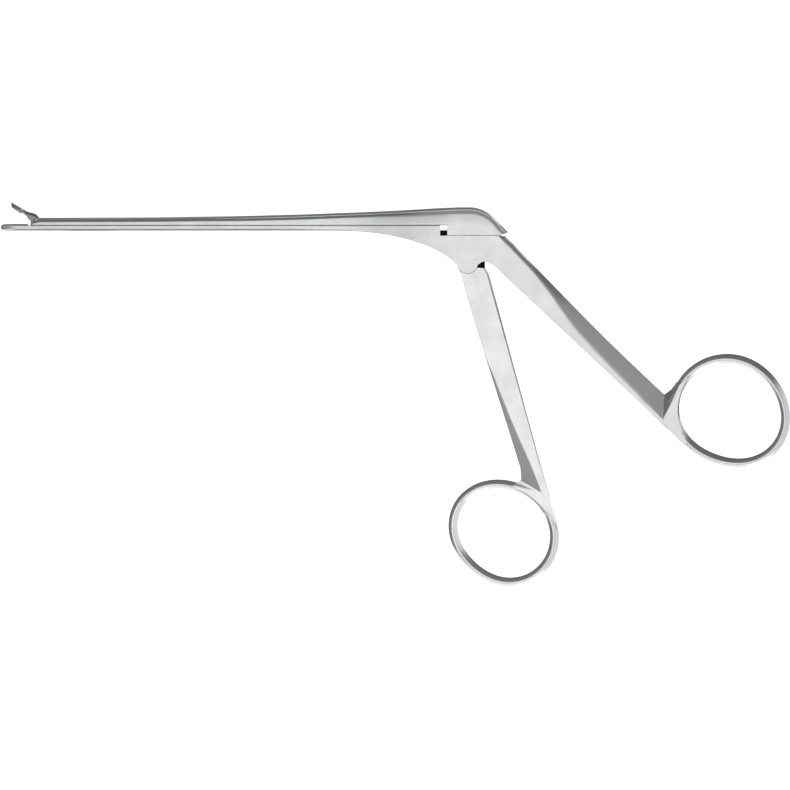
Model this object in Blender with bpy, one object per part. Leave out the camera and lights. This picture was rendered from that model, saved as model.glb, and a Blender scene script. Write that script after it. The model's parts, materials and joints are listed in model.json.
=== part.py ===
"""Biopsy forceps with ring handles and a sliding shaft, lying on its side with the jaws open.

The shaft runs along X with the jaws at -X, the handles hang towards -Y, and Z is the thickness.
The datum is on the flank that the forceps rests on, PIVOT_DROP above the handle pivot.
Lengths are in millimetres, angles in degrees. Each is turned into metres where a mesh is made.
"""
import math

import bmesh
import bpy
from mathutils import Vector

MM = 0.001
PIVOT_DROP = 4.2            # datum down to the handle pivot's axis

# Fits
SLIDE_GAP = 0.05            # between two faces that slide on each other
PIN_GAP = 0.05              # round a pin, on the radius
PLATE_GAP = 0.1             # each side of a plate in its slot
TIP_GAP = 0.06              # between the rims of the closed jaws

# Body and shaft
BODY_WIDTH = 5.6
BODY_TOP = 6.85             # handle pivot up to the slide's seat on the body
LOBE_RADIUS = 2.575         # round nose of the body about the handle pivot
SHAFT_REACH = 108.225       # handle pivot to jaw pivot, along the shaft
SHAFT_WIDTH = 3.0
PARTING_HEIGHT = 9.45       # handle pivot up to the seam between the two halves of the shaft
LOWER_SHAFT_HEIGHT = 1.325
UPPER_SHAFT_HEIGHT = 1.94
SHAFT_EDGE = 0.55           # bevel along the shaft's underside
EDGE_BREAK = 0.05           # sharp edges are broken by this much
STEP_X = -6.85              # front face of the window between shaft and body
UNDERCUT_LENGTH = 30.0      # elliptical sweep from the shaft down to the body's lobe
UNDERCUT_DEPTH = 12.65
UNDERCUT_END = -1.0
FLARE_START = -31.0         # where the shaft starts to widen to the body
FLARE_END = -3.0

# Slide
WINDOW_LENGTH = 1.8         # window at rest, between the frame's step and the slide's step
SHAFT_RISE = 2.55           # how much higher the slide's crown is than its front end
RISE_LENGTH = 80.0
CROWN_X = -0.8              # crown of the slide with the jaws shut
CROWN_RADIUS = 9.0
BACK_SLOPE = 46.0           # slope behind the crown
BACK_LENGTH = 4.5           # straight run of that slope
SLIDE_INSET = 0.03          # the slide's flanks lie this much inside the body's
SLIDE_NOSE = 0.9            # link pin forward to the slide's front end
NOSE_CHAMFER = 1.65         # length of the slope at the front end
NOSE_DROP = 0.65
SLIDE_BEVEL = (0.9, 0.6)    # along the shaft's top: its width, and its drop on each side
CROWN_BEVEL = (1.35, 0.9)

# Drive between the front handle and the slide
DRIVE_HEIGHT = 8.2          # handle pivot up to the drive pin
DRIVE_PIN = 1.6             # diameter
HANDLE_PIN = 2.2            # diameter
LEVER_THICKNESS = 1.8
LEVER_HUB = 2.2             # radius round the handle pin
FORK_WIDTH = 3.4
FORK_TOP = 1.1              # fork's tips above the drive pin's centre

# Guide tongue of the slide in the step of the body
TONGUE_HEIGHT = 1.35
TONGUE_WIDTH = 2.4
TONGUE_LENGTH = 7.2

# Lug that holds the two halves of the shaft together
LUG_SETBACK = 12.225        # jaw pivot back to the middle of the lug, jaws open
LUG_LENGTH = 4.0
LUG_NECK_WIDTH = 0.9
LUG_HEAD_WIDTH = 1.8
LUG_HEAD_HEIGHT = 0.5
LUG_NECK_HEIGHT = 0.4

# Jaws
JAW_REACH = 8.4             # jaw pivot to the tip
JAW_OPENING = 34.5
JAW_PIN = 0.6               # diameter
LINK_PIN = 0.5              # diameter
JAW_PIVOT_DEPTH = 0.55      # seam down to the jaw pivot
LINK_HEIGHT = 1.8           # jaw pivot up to the link pin
HEEL_THICKNESS = 0.9
HEEL_BOSS = 0.5             # radius round the jaw pin
HEEL_SLOT = (-2.1, 1.35)    # slot for the heel, from in front of the jaw pivot to behind it
LOWER_RIM = 0.9             # jaw pivot up to the lower jaw's rim
UPPER_JAW_HEIGHT = 1.38
UPPER_JAW_LENGTH = 5.5
CUP_LENGTH = 4.6
CUP_WIDTH = 2.1
CUP_DEPTH = 0.95
CUP_WALL = 0.75             # jaw's tip to the cup

# Rear handle, fixed to the body
REAR_CORNER = (9.3, 6.85)   # outer corner of the body, from the handle pivot
REAR_ANGLE = -45.5
REAR_LENGTH = 55.6          # corner to the valley at the ring
REAR_WIDTH_TOP = 7.25
REAR_WIDTH_END = 5.1
REAR_FLARE = 1.25           # outer edge swings out by this much at the valley
REAR_SLANT = 5.35           # inner edge runs on this much further than the valley

# Front handle
FRONT_CORNER = (-0.65, -6.7)
FRONT_ANGLE = -72.46
FRONT_LENGTH = 49.15
FRONT_WIDTH_TOP = 6.65
FRONT_WIDTH_END = 4.75
FRONT_FLARE = 0.79
FRONT_SLANT = 5.75
SHOULDER_GAP = 0.1          # between the body's lobe and the handle's shoulders

# Facet along each bar's outer side: share of the bar's length, share of its thinning towards
# the ring, width as a share of the bar's end width, drop as a share of FACET_DROP
FACET_DROP = 1.4
FLARE_SHARE = 0.9           # share of a bar's length where its outer edge starts to swing out
REAR_FACET = ((0.054, 0.0, 0.2, 0.64), (0.18, 0.0, 0.2, 0.61), (0.324, 0.025, 0.37, 0.61),
              (0.504, 0.19, 0.735, 0.64), (0.683, 0.5, 0.833, 0.71), (0.881, 0.85, 0.863, 0.75))
REAR_VALLEY_FACET = 1.37    # same shares, at the valley
FRONT_FACET = ((0.041, 0.0, 0.042, 0.14), (0.35, 0.0, 0.042, 0.107), (0.496, 0.06, 0.118, 0.143),
               (0.633, 0.25, 0.22, 0.2), (0.806, 0.56, 0.39, 0.33), (0.948, 0.85, 0.547, 0.457))
FRONT_VALLEY_FACET = 1.2

# Finger rings: inner radius, ovalness and its direction, egg shape and its direction
RING_END_THICKNESS = 4.0    # both handles' thickness where they meet their rings
RING_CREST = 3.8            # ring's thickness at its crest
RING_RIM = 1.9              # ring's thickness at its edges
RING_BAND = 2.3
RING_FLAT = 0.3             # width of the crest
REAR_RING = {"radius": 12.23, "oval": 0.76, "oval_at": -28.7, "egg": 0.23, "egg_at": -42.6,
             "at": 163.0, "standoff": 4.3}
FRONT_RING = {"radius": 11.22, "oval": 0.80, "oval_at": -36.8, "egg": 0.15, "egg_at": 36.4,
              "at": 72.5, "standoff": 3.55}
RING_SEGMENTS = 48

# Where a bar fans out round its ring: for each section its outer end's turn and distance
# beyond the hole and its inner end's turn and distance, distances as shares of RING_BAND
REAR_SPREAD = ((-5, 1.17, 34.5, 1.57), (9, 0.04, 40, 1.35), (27, 0.04, 47, 1.17),
               (42, 0.04, 54, 1.07), (52, 0.13, 59, 0.91))
FRONT_SPREAD = ((-11.5, 1.13, 42.5, 1.24), (6.5, 0.04, 50.5, 1.09), (27.5, 0.04, 58.5, 1.0),
                (42.5, 0.04, 64.5, 0.96), (52.5, 0.13, 68.5, 0.83))
SPREAD_SINK = 0.02          # each of these sections is this much thinner than the one before

PIN_SEGMENTS = 24
LOBE_SEGMENTS = 48

# Worked out from the values above
BODY_HALF = BODY_WIDTH / 2
SHAFT_HALF = SHAFT_WIDTH / 2
RING_END_HALF = RING_END_THICKNESS / 2
JAW_PIVOT = Vector((-SHAFT_REACH, PARTING_HEIGHT - JAW_PIVOT_DEPTH))
HALF_OPENING = math.radians(JAW_OPENING / 2)
TRAVEL = 2 * LINK_HEIGHT * math.tan(HALF_OPENING)
DRIVE_PIVOT = Vector((TRAVEL / 2, DRIVE_HEIGHT))
LINK_PIVOT = Vector((JAW_PIVOT.x + TRAVEL / 2, JAW_PIVOT.y + LINK_HEIGHT))
SHAFT_BOTTOM = PARTING_HEIGHT - LOWER_SHAFT_HEIGHT
SHAFT_TOP = PARTING_HEIGHT + UPPER_SHAFT_HEIGHT
SLOT_HALF = LEVER_THICKNESS / 2 + PLATE_GAP
HEEL_SLOT_HALF = HEEL_THICKNESS / 2 + PLATE_GAP
FRAME_TOP = PARTING_HEIGHT - SLIDE_GAP / 2
JAW_TIP = JAW_PIVOT.x - JAW_REACH
RIM_END = JAW_PIVOT.x - TRAVEL / 2 - SLIDE_NOSE - 2 * SLIDE_GAP
LUG_X = JAW_PIVOT.x + LUG_SETBACK
BIG = 20.0                 # more than any section that a cutter passes through


def smooth(value):
    """Ease from 0 to 1."""
    value = min(max(value, 0.0), 1.0)
    return value * value * (3 - 2 * value)


def direction(angle):
    return Vector((math.cos(math.radians(angle)), math.sin(math.radians(angle))))


def half_width(x):
    """Half the thickness of shaft and body at x."""
    share = smooth((x - FLARE_START) / (FLARE_END - FLARE_START))
    return SHAFT_HALF + (BODY_HALF - SHAFT_HALF) * share


def underside(x):
    """Height of the frame's lower outline at x."""
    run = (x - (UNDERCUT_END - UNDERCUT_LENGTH)) / UNDERCUT_LENGTH
    run = min(max(run, 0.0), 1.0)
    return SHAFT_BOTTOM - UNDERCUT_DEPTH * (1 - math.sqrt(1 - run * run))


def slide_top(x):
    """Height of the slide's upper outline at x, jaws shut, up to its crown."""
    run = max(x - (CROWN_X - RISE_LENGTH), 0.0) / RISE_LENGTH
    return SHAFT_TOP + SHAFT_RISE * run * run


def rib(low, high, half, low_edge=(EDGE_BREAK, EDGE_BREAK), high_edge=(EDGE_BREAK, EDGE_BREAK)):
    """Section across the thickness, from the point low to the point high.

    An edge is its bevel's width along the rib and its drop in thickness on each side.
    """
    low, high = Vector(low), Vector(high)
    along = (high - low).normalized()
    profile = [(low, half - low_edge[1]), (low + along * low_edge[0], half),
               (high - along * high_edge[0], half), (high, half - high_edge[1])]
    upper = [(point.x, point.y, depth) for point, depth in profile]
    lower = [(x, y, -depth) for x, y, depth in reversed(upper)]
    return upper + lower


def new_object(name, mesh_data, material, parent, origin=(0.0, 0.0)):
    """Object from a bmesh in millimetres about the handle pivot, with its own origin."""
    shift = Vector((origin[0], origin[1], 0.0))
    bmesh.ops.translate(mesh_data, verts=mesh_data.verts, vec=-shift)
    bmesh.ops.scale(mesh_data, verts=mesh_data.verts, vec=(MM, MM, MM))
    bmesh.ops.recalc_face_normals(mesh_data, faces=mesh_data.faces)
    mesh = bpy.data.meshes.new(name)
    mesh_data.to_mesh(mesh)
    mesh_data.free()
    if material:
        mesh.materials.append(material)
    item = bpy.data.objects.new(name, mesh)
    bpy.context.collection.objects.link(item)
    item.location = shift * MM
    item.parent = parent
    return item


def add_loft(target, ribs, closed=False):
    """Skin a row of sections; a closed row goes round a ring."""
    rows = [[target.verts.new(point) for point in section] for section in ribs]
    pairs = list(zip(rows, rows[1:] + rows[:1])) if closed else list(zip(rows, rows[1:]))
    for first, second in pairs:
        for index in range(len(first)):
            after = (index + 1) % len(first)
            target.faces.new((first[index], first[after], second[after], second[index]))
    if not closed:
        target.faces.new(reversed(rows[0]))
        target.faces.new(rows[-1])
    bmesh.ops.triangulate(target, faces=target.faces[:])


def add_plate(target, outline, bottom, top):
    """Flat plate from an outline in the XY plane."""
    rows = [[target.verts.new((x, y, z)) for x, y in outline] for z in (bottom, top)]
    for index in range(len(outline)):
        after = (index + 1) % len(outline)
        target.faces.new((rows[0][index], rows[0][after], rows[1][after], rows[1][index]))
    target.faces.new(reversed(rows[0]))
    target.faces.new(rows[1])


def box_outline(x_range, y_range):
    (left, right), (low, high) = x_range, y_range
    return [(left, low), (right, low), (right, high), (left, high)]


def circle_outline(centre, radius, segments=PIN_SEGMENTS):
    return [tuple(Vector(centre) + radius * direction(360 * k / segments)) for k in range(segments)]


def arc(centre, radius, start, end, steps):
    """Points on an arc from one angle to another, both included."""
    return [tuple(Vector(centre) + radius * direction(start + (end - start) * k / steps))
            for k in range(steps + 1)]


def combine(target, tool, operation):
    """Boolean of a piece with a hidden tool object."""
    tool.hide_render = True
    tool.display_type = "WIRE"
    modifier = target.modifiers.new(tool.name, "BOOLEAN")
    modifier.object = tool
    modifier.operation = operation
    modifier.solver = "EXACT"


def plate_tool(name, outline, half, parent, low=None):
    """Tool from a flat outline, as thick as twice half unless low gives its lower face."""
    mesh_data = bmesh.new()
    add_plate(mesh_data, outline, -half if low is None else low, half)
    return new_object(name, mesh_data, None, parent)


def loft_tool(name, ribs, parent, closed=False):
    mesh_data = bmesh.new()
    add_loft(mesh_data, ribs, closed)
    return new_object(name, mesh_data, None, parent)


def steel(name, shade, roughness):
    material = bpy.data.materials.new(name)
    material.use_nodes = True
    shader = material.node_tree.nodes["Principled BSDF"]
    shader.inputs["Base Color"].default_value = (shade, shade, shade * 1.01, 1.0)
    shader.inputs["Metallic"].default_value = 1.0
    shader.inputs["Roughness"].default_value = roughness
    return material


class Ring:
    """Finger ring with an oval, slightly egg-shaped hole, set against the end of a bar."""

    def __init__(self, shape, touch):
        self.shape = shape
        reach = self.radius(shape["at"]) + shape["standoff"]
        self.centre = Vector(touch) - direction(shape["at"]) * reach

    def radius(self, angle):
        shape = self.shape
        oval = shape["oval"] * math.cos(2 * math.radians(angle - shape["oval_at"]))
        egg = shape["egg"] * math.cos(3 * math.radians(angle - shape["egg_at"]))
        return shape["radius"] + oval + egg

    def point(self, angle, beyond):
        """Point at a distance outside the hole's edge."""
        return self.centre + direction(angle) * (self.radius(angle) + beyond)

    def sections(self):
        facet = (RING_BAND - RING_FLAT) / 2
        drop = (RING_CREST - RING_RIM) / 2
        angles = [360 * k / RING_SEGMENTS for k in range(RING_SEGMENTS)]
        return [rib(self.point(angle, 0), self.point(angle, RING_BAND), RING_CREST / 2,
                    (facet, drop), (facet, drop)) for angle in angles]

    def hole(self, trim=0.02):
        """Outline of the hole, trimmed a hair into the ring so that the cut is clean."""
        angles = [360 * k / RING_SEGMENTS for k in range(RING_SEGMENTS)]
        return [tuple(self.point(angle, trim)) for angle in angles]


class Bar:
    """Handle bar's own axes: along its faceted outer edge, and inwards across its width."""

    def __init__(self, corner, angle, inward_turn):
        self.corner = Vector(corner)
        self.along = direction(angle)
        self.inward = direction(angle + inward_turn)

    def at(self, run, across):
        return self.corner + self.along * run + self.inward * across


def bar_ribs(bar, length, widths, flare, slant, facets, valley_facet, inner):
    """Sections of a bar down to the valley where it meets its ring."""
    top, end = widths
    ribs = []
    for run, thinning, wide, drop in facets:
        half = BODY_HALF + (RING_END_HALF - BODY_HALF) * thinning
        swing = flare * smooth((run - FLARE_SHARE) / (1 - FLARE_SHARE))
        low = bar.at(length * run, top + (end - top) * run)
        high = bar.at(length * run, -swing)
        ribs.append(rib(low, high, half, inner, (end * wide, FACET_DROP * drop)))
    ribs.append(rib(bar.at(length + slant, end), bar.at(length, -flare), RING_END_HALF, inner,
                    (end * valley_facet, FACET_DROP)))
    return ribs


def spread_ribs(ring, turn, spread):
    """Sections that fan from the valley round the ring and sink into it."""
    at = ring.shape["at"]
    ribs = []
    for index, (high_turn, high_out, low_turn, low_out) in enumerate(spread):
        high = ring.point(at + turn * high_turn, RING_BAND * high_out)
        low = ring.point(at + turn * low_turn, RING_BAND * low_out)
        half = RING_END_HALF - SPREAD_SINK * index
        edge = (1.0, 1.0) if index == 0 else (2 * EDGE_BREAK, 2 * EDGE_BREAK)
        if index == len(spread) - 1:
            half = RING_CREST / 2 - EDGE_BREAK
        ribs.append(rib(low, high, half, (0.3, 0.3), edge))
    return ribs


def shaft_and_body_ribs():
    """Sections of the fixed frame from inside the lower jaw's root to the handle pivot."""
    under = (SHAFT_EDGE, SHAFT_EDGE * 0.85)
    root = RIM_END - 0.7
    sunk = 2 * EDGE_BREAK
    ribs = [rib((root, SHAFT_BOTTOM + sunk), (root, FRAME_TOP - sunk), SHAFT_HALF - EDGE_BREAK, under)]
    for x in (RIM_END + EDGE_BREAK, FLARE_START):
        ribs.append(rib((x, SHAFT_BOTTOM), (x, FRAME_TOP), SHAFT_HALF, under))
    stations = 9
    last = -LOBE_RADIUS * 1.1
    for k in range(1, stations + 1):
        share = k / stations
        x = FLARE_START + (last - FLARE_START) * share
        edge = SHAFT_EDGE * (1 - 0.5 * share)
        ribs.append(rib((x, underside(x)), (x, FRAME_TOP), half_width(x), (edge, edge * 0.85)))
    return ribs


def rear_handle_ribs(ring, bar):
    """Sections of the body behind the pivot, the rear bar and its junction with the ring."""
    inner = (0.25, 0.25)
    slope = (FRAME_TOP - REAR_CORNER[1]) / math.tan(math.radians(-REAR_ANGLE))
    shoulder = (REAR_CORNER[0] - slope, FRAME_TOP)
    notch = (LOBE_RADIUS + 1.85, 0.57)
    facet = (REAR_WIDTH_END * REAR_FACET[0][2], FACET_DROP * REAR_FACET[0][3])
    ribs = [rib((0.0, -0.5), (1.5, FRAME_TOP), half_width(0.0), inner),
            rib((LOBE_RADIUS, -0.45), (4.4, FRAME_TOP), BODY_HALF, inner),
            rib((LOBE_RADIUS + 0.9, 0.2), shoulder, BODY_HALF, inner, facet),
            rib(notch, bar.at(-REAR_WIDTH_TOP * 0.2, 0), BODY_HALF, inner, facet)]
    ribs += bar_ribs(bar, REAR_LENGTH, (REAR_WIDTH_TOP, REAR_WIDTH_END), REAR_FLARE, REAR_SLANT,
                     REAR_FACET, REAR_VALLEY_FACET, inner)
    return ribs + spread_ribs(ring, 1, REAR_SPREAD)


def front_handle_ribs(ring, bar):
    """Sections of the front bar from its shoulders to the junction with the ring."""
    inner = (0.45, 0.45)
    outer = (0.2, 0.2)
    across = FRONT_WIDTH_TOP + 0.2
    ribs = [rib((LOBE_RADIUS + 1.9, -1.3), (-LOBE_RADIUS, -0.9), BODY_HALF, inner, outer),
            rib(bar.at(-1.9, across), bar.at(-3.9, 0.25), BODY_HALF, inner, outer)]
    ribs += bar_ribs(bar, FRONT_LENGTH, (FRONT_WIDTH_TOP, FRONT_WIDTH_END), FRONT_FLARE, FRONT_SLANT,
                     FRONT_FACET, FRONT_VALLEY_FACET, inner)
    return ribs + spread_ribs(ring, -1, FRONT_SPREAD)


def jaw_sections(tip, back, low, high, nose_low, nose_high):
    """Sections of a jaw along X, from its rounded nose at tip to its root at back."""
    length = back - tip
    rows = []
    for share, wide in ((0.0, 0.3), (0.04, 0.62), (0.11, 0.85), (0.24, 0.97), (0.4, 1.0), (1.0, 1.0)):
        x = tip + length * share
        half = SHAFT_HALF * wide
        bulge = math.sqrt(max(1 - (1 - min(share / 0.24, 1)) ** 2, 0.0))
        bottom = nose_low + (low - nose_low) * bulge
        top = nose_high + (high - nose_high) * bulge
        edge = min(0.45 * half, 0.35 * (top - bottom))
        rows.append([(x, bottom, half - edge), (x, bottom + edge, half), (x, top - 0.1, half),
                     (x, top, half - 0.1), (x, top, -half + 0.1), (x, top - 0.1, -half),
                     (x, bottom + edge, -half), (x, bottom, -half + edge)])
    return rows


def flip_sections(rows, low, high):
    """The same sections turned upside down between two heights."""
    return [[(x, low + high - y, z) for x, y, z in row] for row in rows]


def cup_tool(name, centre, parent):
    """Ellipsoid that hollows a jaw."""
    mesh_data = bmesh.new()
    bmesh.ops.create_uvsphere(mesh_data, u_segments=20, v_segments=10, radius=1.0)
    size = (CUP_LENGTH / 2, CUP_DEPTH, CUP_WIDTH / 2)
    bmesh.ops.scale(mesh_data, verts=mesh_data.verts, vec=size)
    bmesh.ops.translate(mesh_data, verts=mesh_data.verts, vec=(centre[0], centre[1], 0.0))
    return new_object(name, mesh_data, None, parent)


def pin(name, centre, diameter, half_length, material, parent):
    mesh_data = bmesh.new()
    add_plate(mesh_data, circle_outline(centre, diameter / 2), -half_length, half_length)
    item = new_object(name, mesh_data, material, parent, centre)
    shade(item)
    return item


def shade(item):
    item.data.shade_smooth()
    item.data.set_sharp_from_angle(angle=math.radians(30))


def fixed_frame(parent, material):
    """Lower jaw, lower shaft, body, rear bar and ring, forged as one piece."""
    bar = Bar(REAR_CORNER, REAR_ANGLE, -90)
    ring = Ring(REAR_RING, bar.at(REAR_LENGTH, -REAR_FLARE))
    mesh_data = bmesh.new()
    add_loft(mesh_data, shaft_and_body_ribs() + rear_handle_ribs(ring, bar))
    frame = new_object("fixed_frame", mesh_data, material, parent)
    lobe = circle_outline((0, 0), LOBE_RADIUS, LOBE_SEGMENTS)
    combine(frame, plate_tool("lobe_tool", lobe, BODY_HALF, parent), "UNION")
    seat = box_outline((STEP_X, REAR_CORNER[0] + BIG), (BODY_TOP - SLIDE_GAP / 2, BODY_TOP + BIG))
    combine(frame, plate_tool("slide_seat_tool", seat, BIG, parent), "DIFFERENCE")

    jaw_low, jaw_high = SHAFT_BOTTOM - EDGE_BREAK, JAW_PIVOT.y + LOWER_RIM
    rows = jaw_sections(JAW_TIP, RIM_END, jaw_low, jaw_high, jaw_low + 0.6, jaw_high - 0.75)
    combine(frame, loft_tool("lower_jaw_tool", rows, parent), "UNION")
    cup = (JAW_TIP + CUP_WALL + CUP_LENGTH / 2, jaw_high)
    combine(frame, cup_tool("lower_cup_tool", cup, parent), "DIFFERENCE")

    clevis = box_outline((JAW_PIVOT.x + HEEL_SLOT[0], JAW_PIVOT.x + HEEL_SLOT[1]),
                         (JAW_PIVOT.y - HEEL_BOSS - PLATE_GAP, PARTING_HEIGHT + BIG))
    combine(frame, plate_tool("heel_slot_tool", clevis, HEEL_SLOT_HALF, parent), "DIFFERENCE")
    jaw_hole = circle_outline(JAW_PIVOT, JAW_PIN / 2 + PIN_GAP)
    combine(frame, plate_tool("jaw_hole_tool", jaw_hole, BIG, parent), "DIFFERENCE")

    seam = PARTING_HEIGHT
    neck = LUG_NECK_HEIGHT
    run = (LUG_X - LUG_LENGTH / 2 - TRAVEL - 0.5, LUG_X + LUG_LENGTH / 2 + 0.4)
    window = (run[1], run[1] + LUG_LENGTH + 1.0)
    neck_slot = box_outline((run[0], window[1]), (seam - neck - 0.1, seam + 1))
    combine(frame, plate_tool("lug_neck_tool", neck_slot, LUG_NECK_WIDTH / 2 + PLATE_GAP, parent),
            "DIFFERENCE")
    head_half = LUG_HEAD_WIDTH / 2 + PLATE_GAP
    head_slot = box_outline((run[0], window[1]), (SHAFT_BOTTOM - 1, seam - neck))
    combine(frame, plate_tool("lug_head_tool", head_slot, head_half, parent), "DIFFERENCE")
    entry = box_outline(window, (SHAFT_BOTTOM - 1, seam + 1))
    combine(frame, plate_tool("lug_entry_tool", entry, head_half, parent), "DIFFERENCE")

    mortise = box_outline((STEP_X - TONGUE_LENGTH - 0.4, STEP_X + 1),
                          (BODY_TOP - SLIDE_GAP / 2, BODY_TOP + TONGUE_HEIGHT + 2 * SLIDE_GAP))
    combine(frame, plate_tool("mortise_tool", mortise, TONGUE_WIDTH / 2 + PLATE_GAP, parent),
            "DIFFERENCE")
    slot = [(-LEVER_HUB - 0.25, -LOBE_RADIUS - 1), (4.8, -LOBE_RADIUS - 1), (4.8, 1.5),
            (2.85, 1.5), (2.85, BODY_TOP + 1), (-LEVER_HUB - 0.25, BODY_TOP + 1)]
    combine(frame, plate_tool("lever_slot_tool", slot, SLOT_HALF, parent), "DIFFERENCE")
    pivot_hole = circle_outline((0, 0), HANDLE_PIN / 2 + PIN_GAP)
    combine(frame, plate_tool("handle_hole_tool", pivot_hole, BIG, parent), "DIFFERENCE")
    combine(frame, loft_tool("rear_ring_tool", ring.sections(), parent, closed=True), "UNION")
    combine(frame, plate_tool("rear_hole_tool", ring.hole(), BIG, parent), "DIFFERENCE")
    return frame


def slide_ribs():
    """Sections of the slide with the jaws shut, from its front end to the tip behind its crown."""
    seat = BODY_TOP + SLIDE_GAP / 2
    front = JAW_PIVOT.x - TRAVEL / 2 - SLIDE_NOSE
    ribs = []
    for x in (front, CROWN_X - RISE_LENGTH):
        ribs.append(rib((x, seat), (x, SHAFT_TOP), SHAFT_HALF, high_edge=SLIDE_BEVEL))
    steps = 14
    for k in range(1, steps + 1):
        x = CROWN_X - RISE_LENGTH * (1 - k / steps)
        flare = smooth((x - FLARE_START) / (FLARE_END - FLARE_START))
        edge = [small + (large - small) * flare for small, large in zip(SLIDE_BEVEL, CROWN_BEVEL)]
        ribs.append(rib((x, seat), (x, slide_top(x)), half_width(x) - SLIDE_INSET * flare,
                        high_edge=edge))
    half = BODY_HALF - SLIDE_INSET
    hub = Vector((CROWN_X, SHAFT_TOP + SHAFT_RISE - CROWN_RADIUS))
    back = direction(-BACK_SLOPE)
    end = hub + CROWN_RADIUS * direction(90 - BACK_SLOPE)
    tip = end + back * BACK_LENGTH
    reach = tip.x - CROWN_X
    turns = 5
    for k in range(1, turns + 1):
        share = k / turns
        high = hub + CROWN_RADIUS * direction(90 - BACK_SLOPE * share)
        low = (CROWN_X + reach * 0.6 * share, seat)
        ribs.append(rib(low, high, half, high_edge=CROWN_BEVEL))
    thin, end_half = BODY_HALF * 0.9, BODY_HALF * 0.73
    ribs.append(rib((CROWN_X + reach * 0.74, seat), end.lerp(tip, 0.62), half, high_edge=CROWN_BEVEL))
    ribs.append(rib((CROWN_X + reach * 0.87, seat + 0.4), end.lerp(tip, 0.85), thin,
                    high_edge=(1.1, 0.6)))
    ribs.append(rib(tip - Vector((0.12, 0.3)), tip, end_half))
    return ribs


def sliding_shaft(parent, material):
    """Upper half of the shaft with its guide tongue and lug, drawn back by TRAVEL when open."""
    mesh_data = bmesh.new()
    ribs = [[(x + TRAVEL, y, z) for x, y, z in section] for section in slide_ribs()]
    add_loft(mesh_data, ribs)
    slide = new_object("sliding_shaft", mesh_data, material, parent)
    step = STEP_X + WINDOW_LENGTH
    seam = PARTING_HEIGHT + SLIDE_GAP / 2
    under = box_outline((JAW_PIVOT.x - BIG, step), (0, seam))
    combine(slide, plate_tool("slide_underside_tool", under, BIG, parent), "DIFFERENCE")

    front = LINK_PIVOT.x - SLIDE_NOSE
    slope = NOSE_DROP / NOSE_CHAMFER
    chamfer = [(front - 1, SHAFT_TOP + 1), (front - 1, SHAFT_TOP - NOSE_DROP - slope),
               (front + NOSE_CHAMFER, SHAFT_TOP), (front + NOSE_CHAMFER + 1, SHAFT_TOP + slope),
               (front + NOSE_CHAMFER + 1, SHAFT_TOP + 1)]
    combine(slide, plate_tool("front_chamfer_tool", chamfer, BIG, parent), "DIFFERENCE")
    heel = box_outline((front - 1, LINK_PIVOT.x + 2 * SLIDE_NOSE), (PARTING_HEIGHT - 1, SHAFT_TOP + 1))
    combine(slide, plate_tool("slide_heel_slot_tool", heel, HEEL_SLOT_HALF, parent), "DIFFERENCE")
    link_hole = circle_outline(LINK_PIVOT, LINK_PIN / 2 + PIN_GAP)
    combine(slide, plate_tool("link_hole_tool", link_hole, BIG, parent), "DIFFERENCE")

    slot = box_outline((-LEVER_HUB, LEVER_HUB + 0.7), (0, DRIVE_HEIGHT + FORK_TOP + 0.4))
    combine(slide, plate_tool("slide_lever_slot_tool", slot, SLOT_HALF, parent), "DIFFERENCE")
    drive_hole = circle_outline(DRIVE_PIVOT, DRIVE_PIN / 2 + PIN_GAP)
    combine(slide, plate_tool("drive_hole_tool", drive_hole, BIG, parent), "DIFFERENCE")

    low = BODY_TOP + SLIDE_GAP / 2
    tongue = box_outline((step - TONGUE_LENGTH, step + 1), (low, low + TONGUE_HEIGHT))
    combine(slide, plate_tool("tongue_tool", tongue, TONGUE_WIDTH / 2, parent), "UNION")

    ends = (LUG_X - LUG_LENGTH / 2, LUG_X + LUG_LENGTH / 2)
    head_top = PARTING_HEIGHT - LUG_NECK_HEIGHT - 0.1
    neck = box_outline(ends, (head_top - LUG_HEAD_HEIGHT, seam + 0.5))
    combine(slide, plate_tool("neck_tool", neck, LUG_NECK_WIDTH / 2, parent), "UNION")
    head = box_outline(ends, (head_top - LUG_HEAD_HEIGHT, head_top))
    combine(slide, plate_tool("head_tool", head, LUG_HEAD_WIDTH / 2, parent), "UNION")
    return slide


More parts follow.
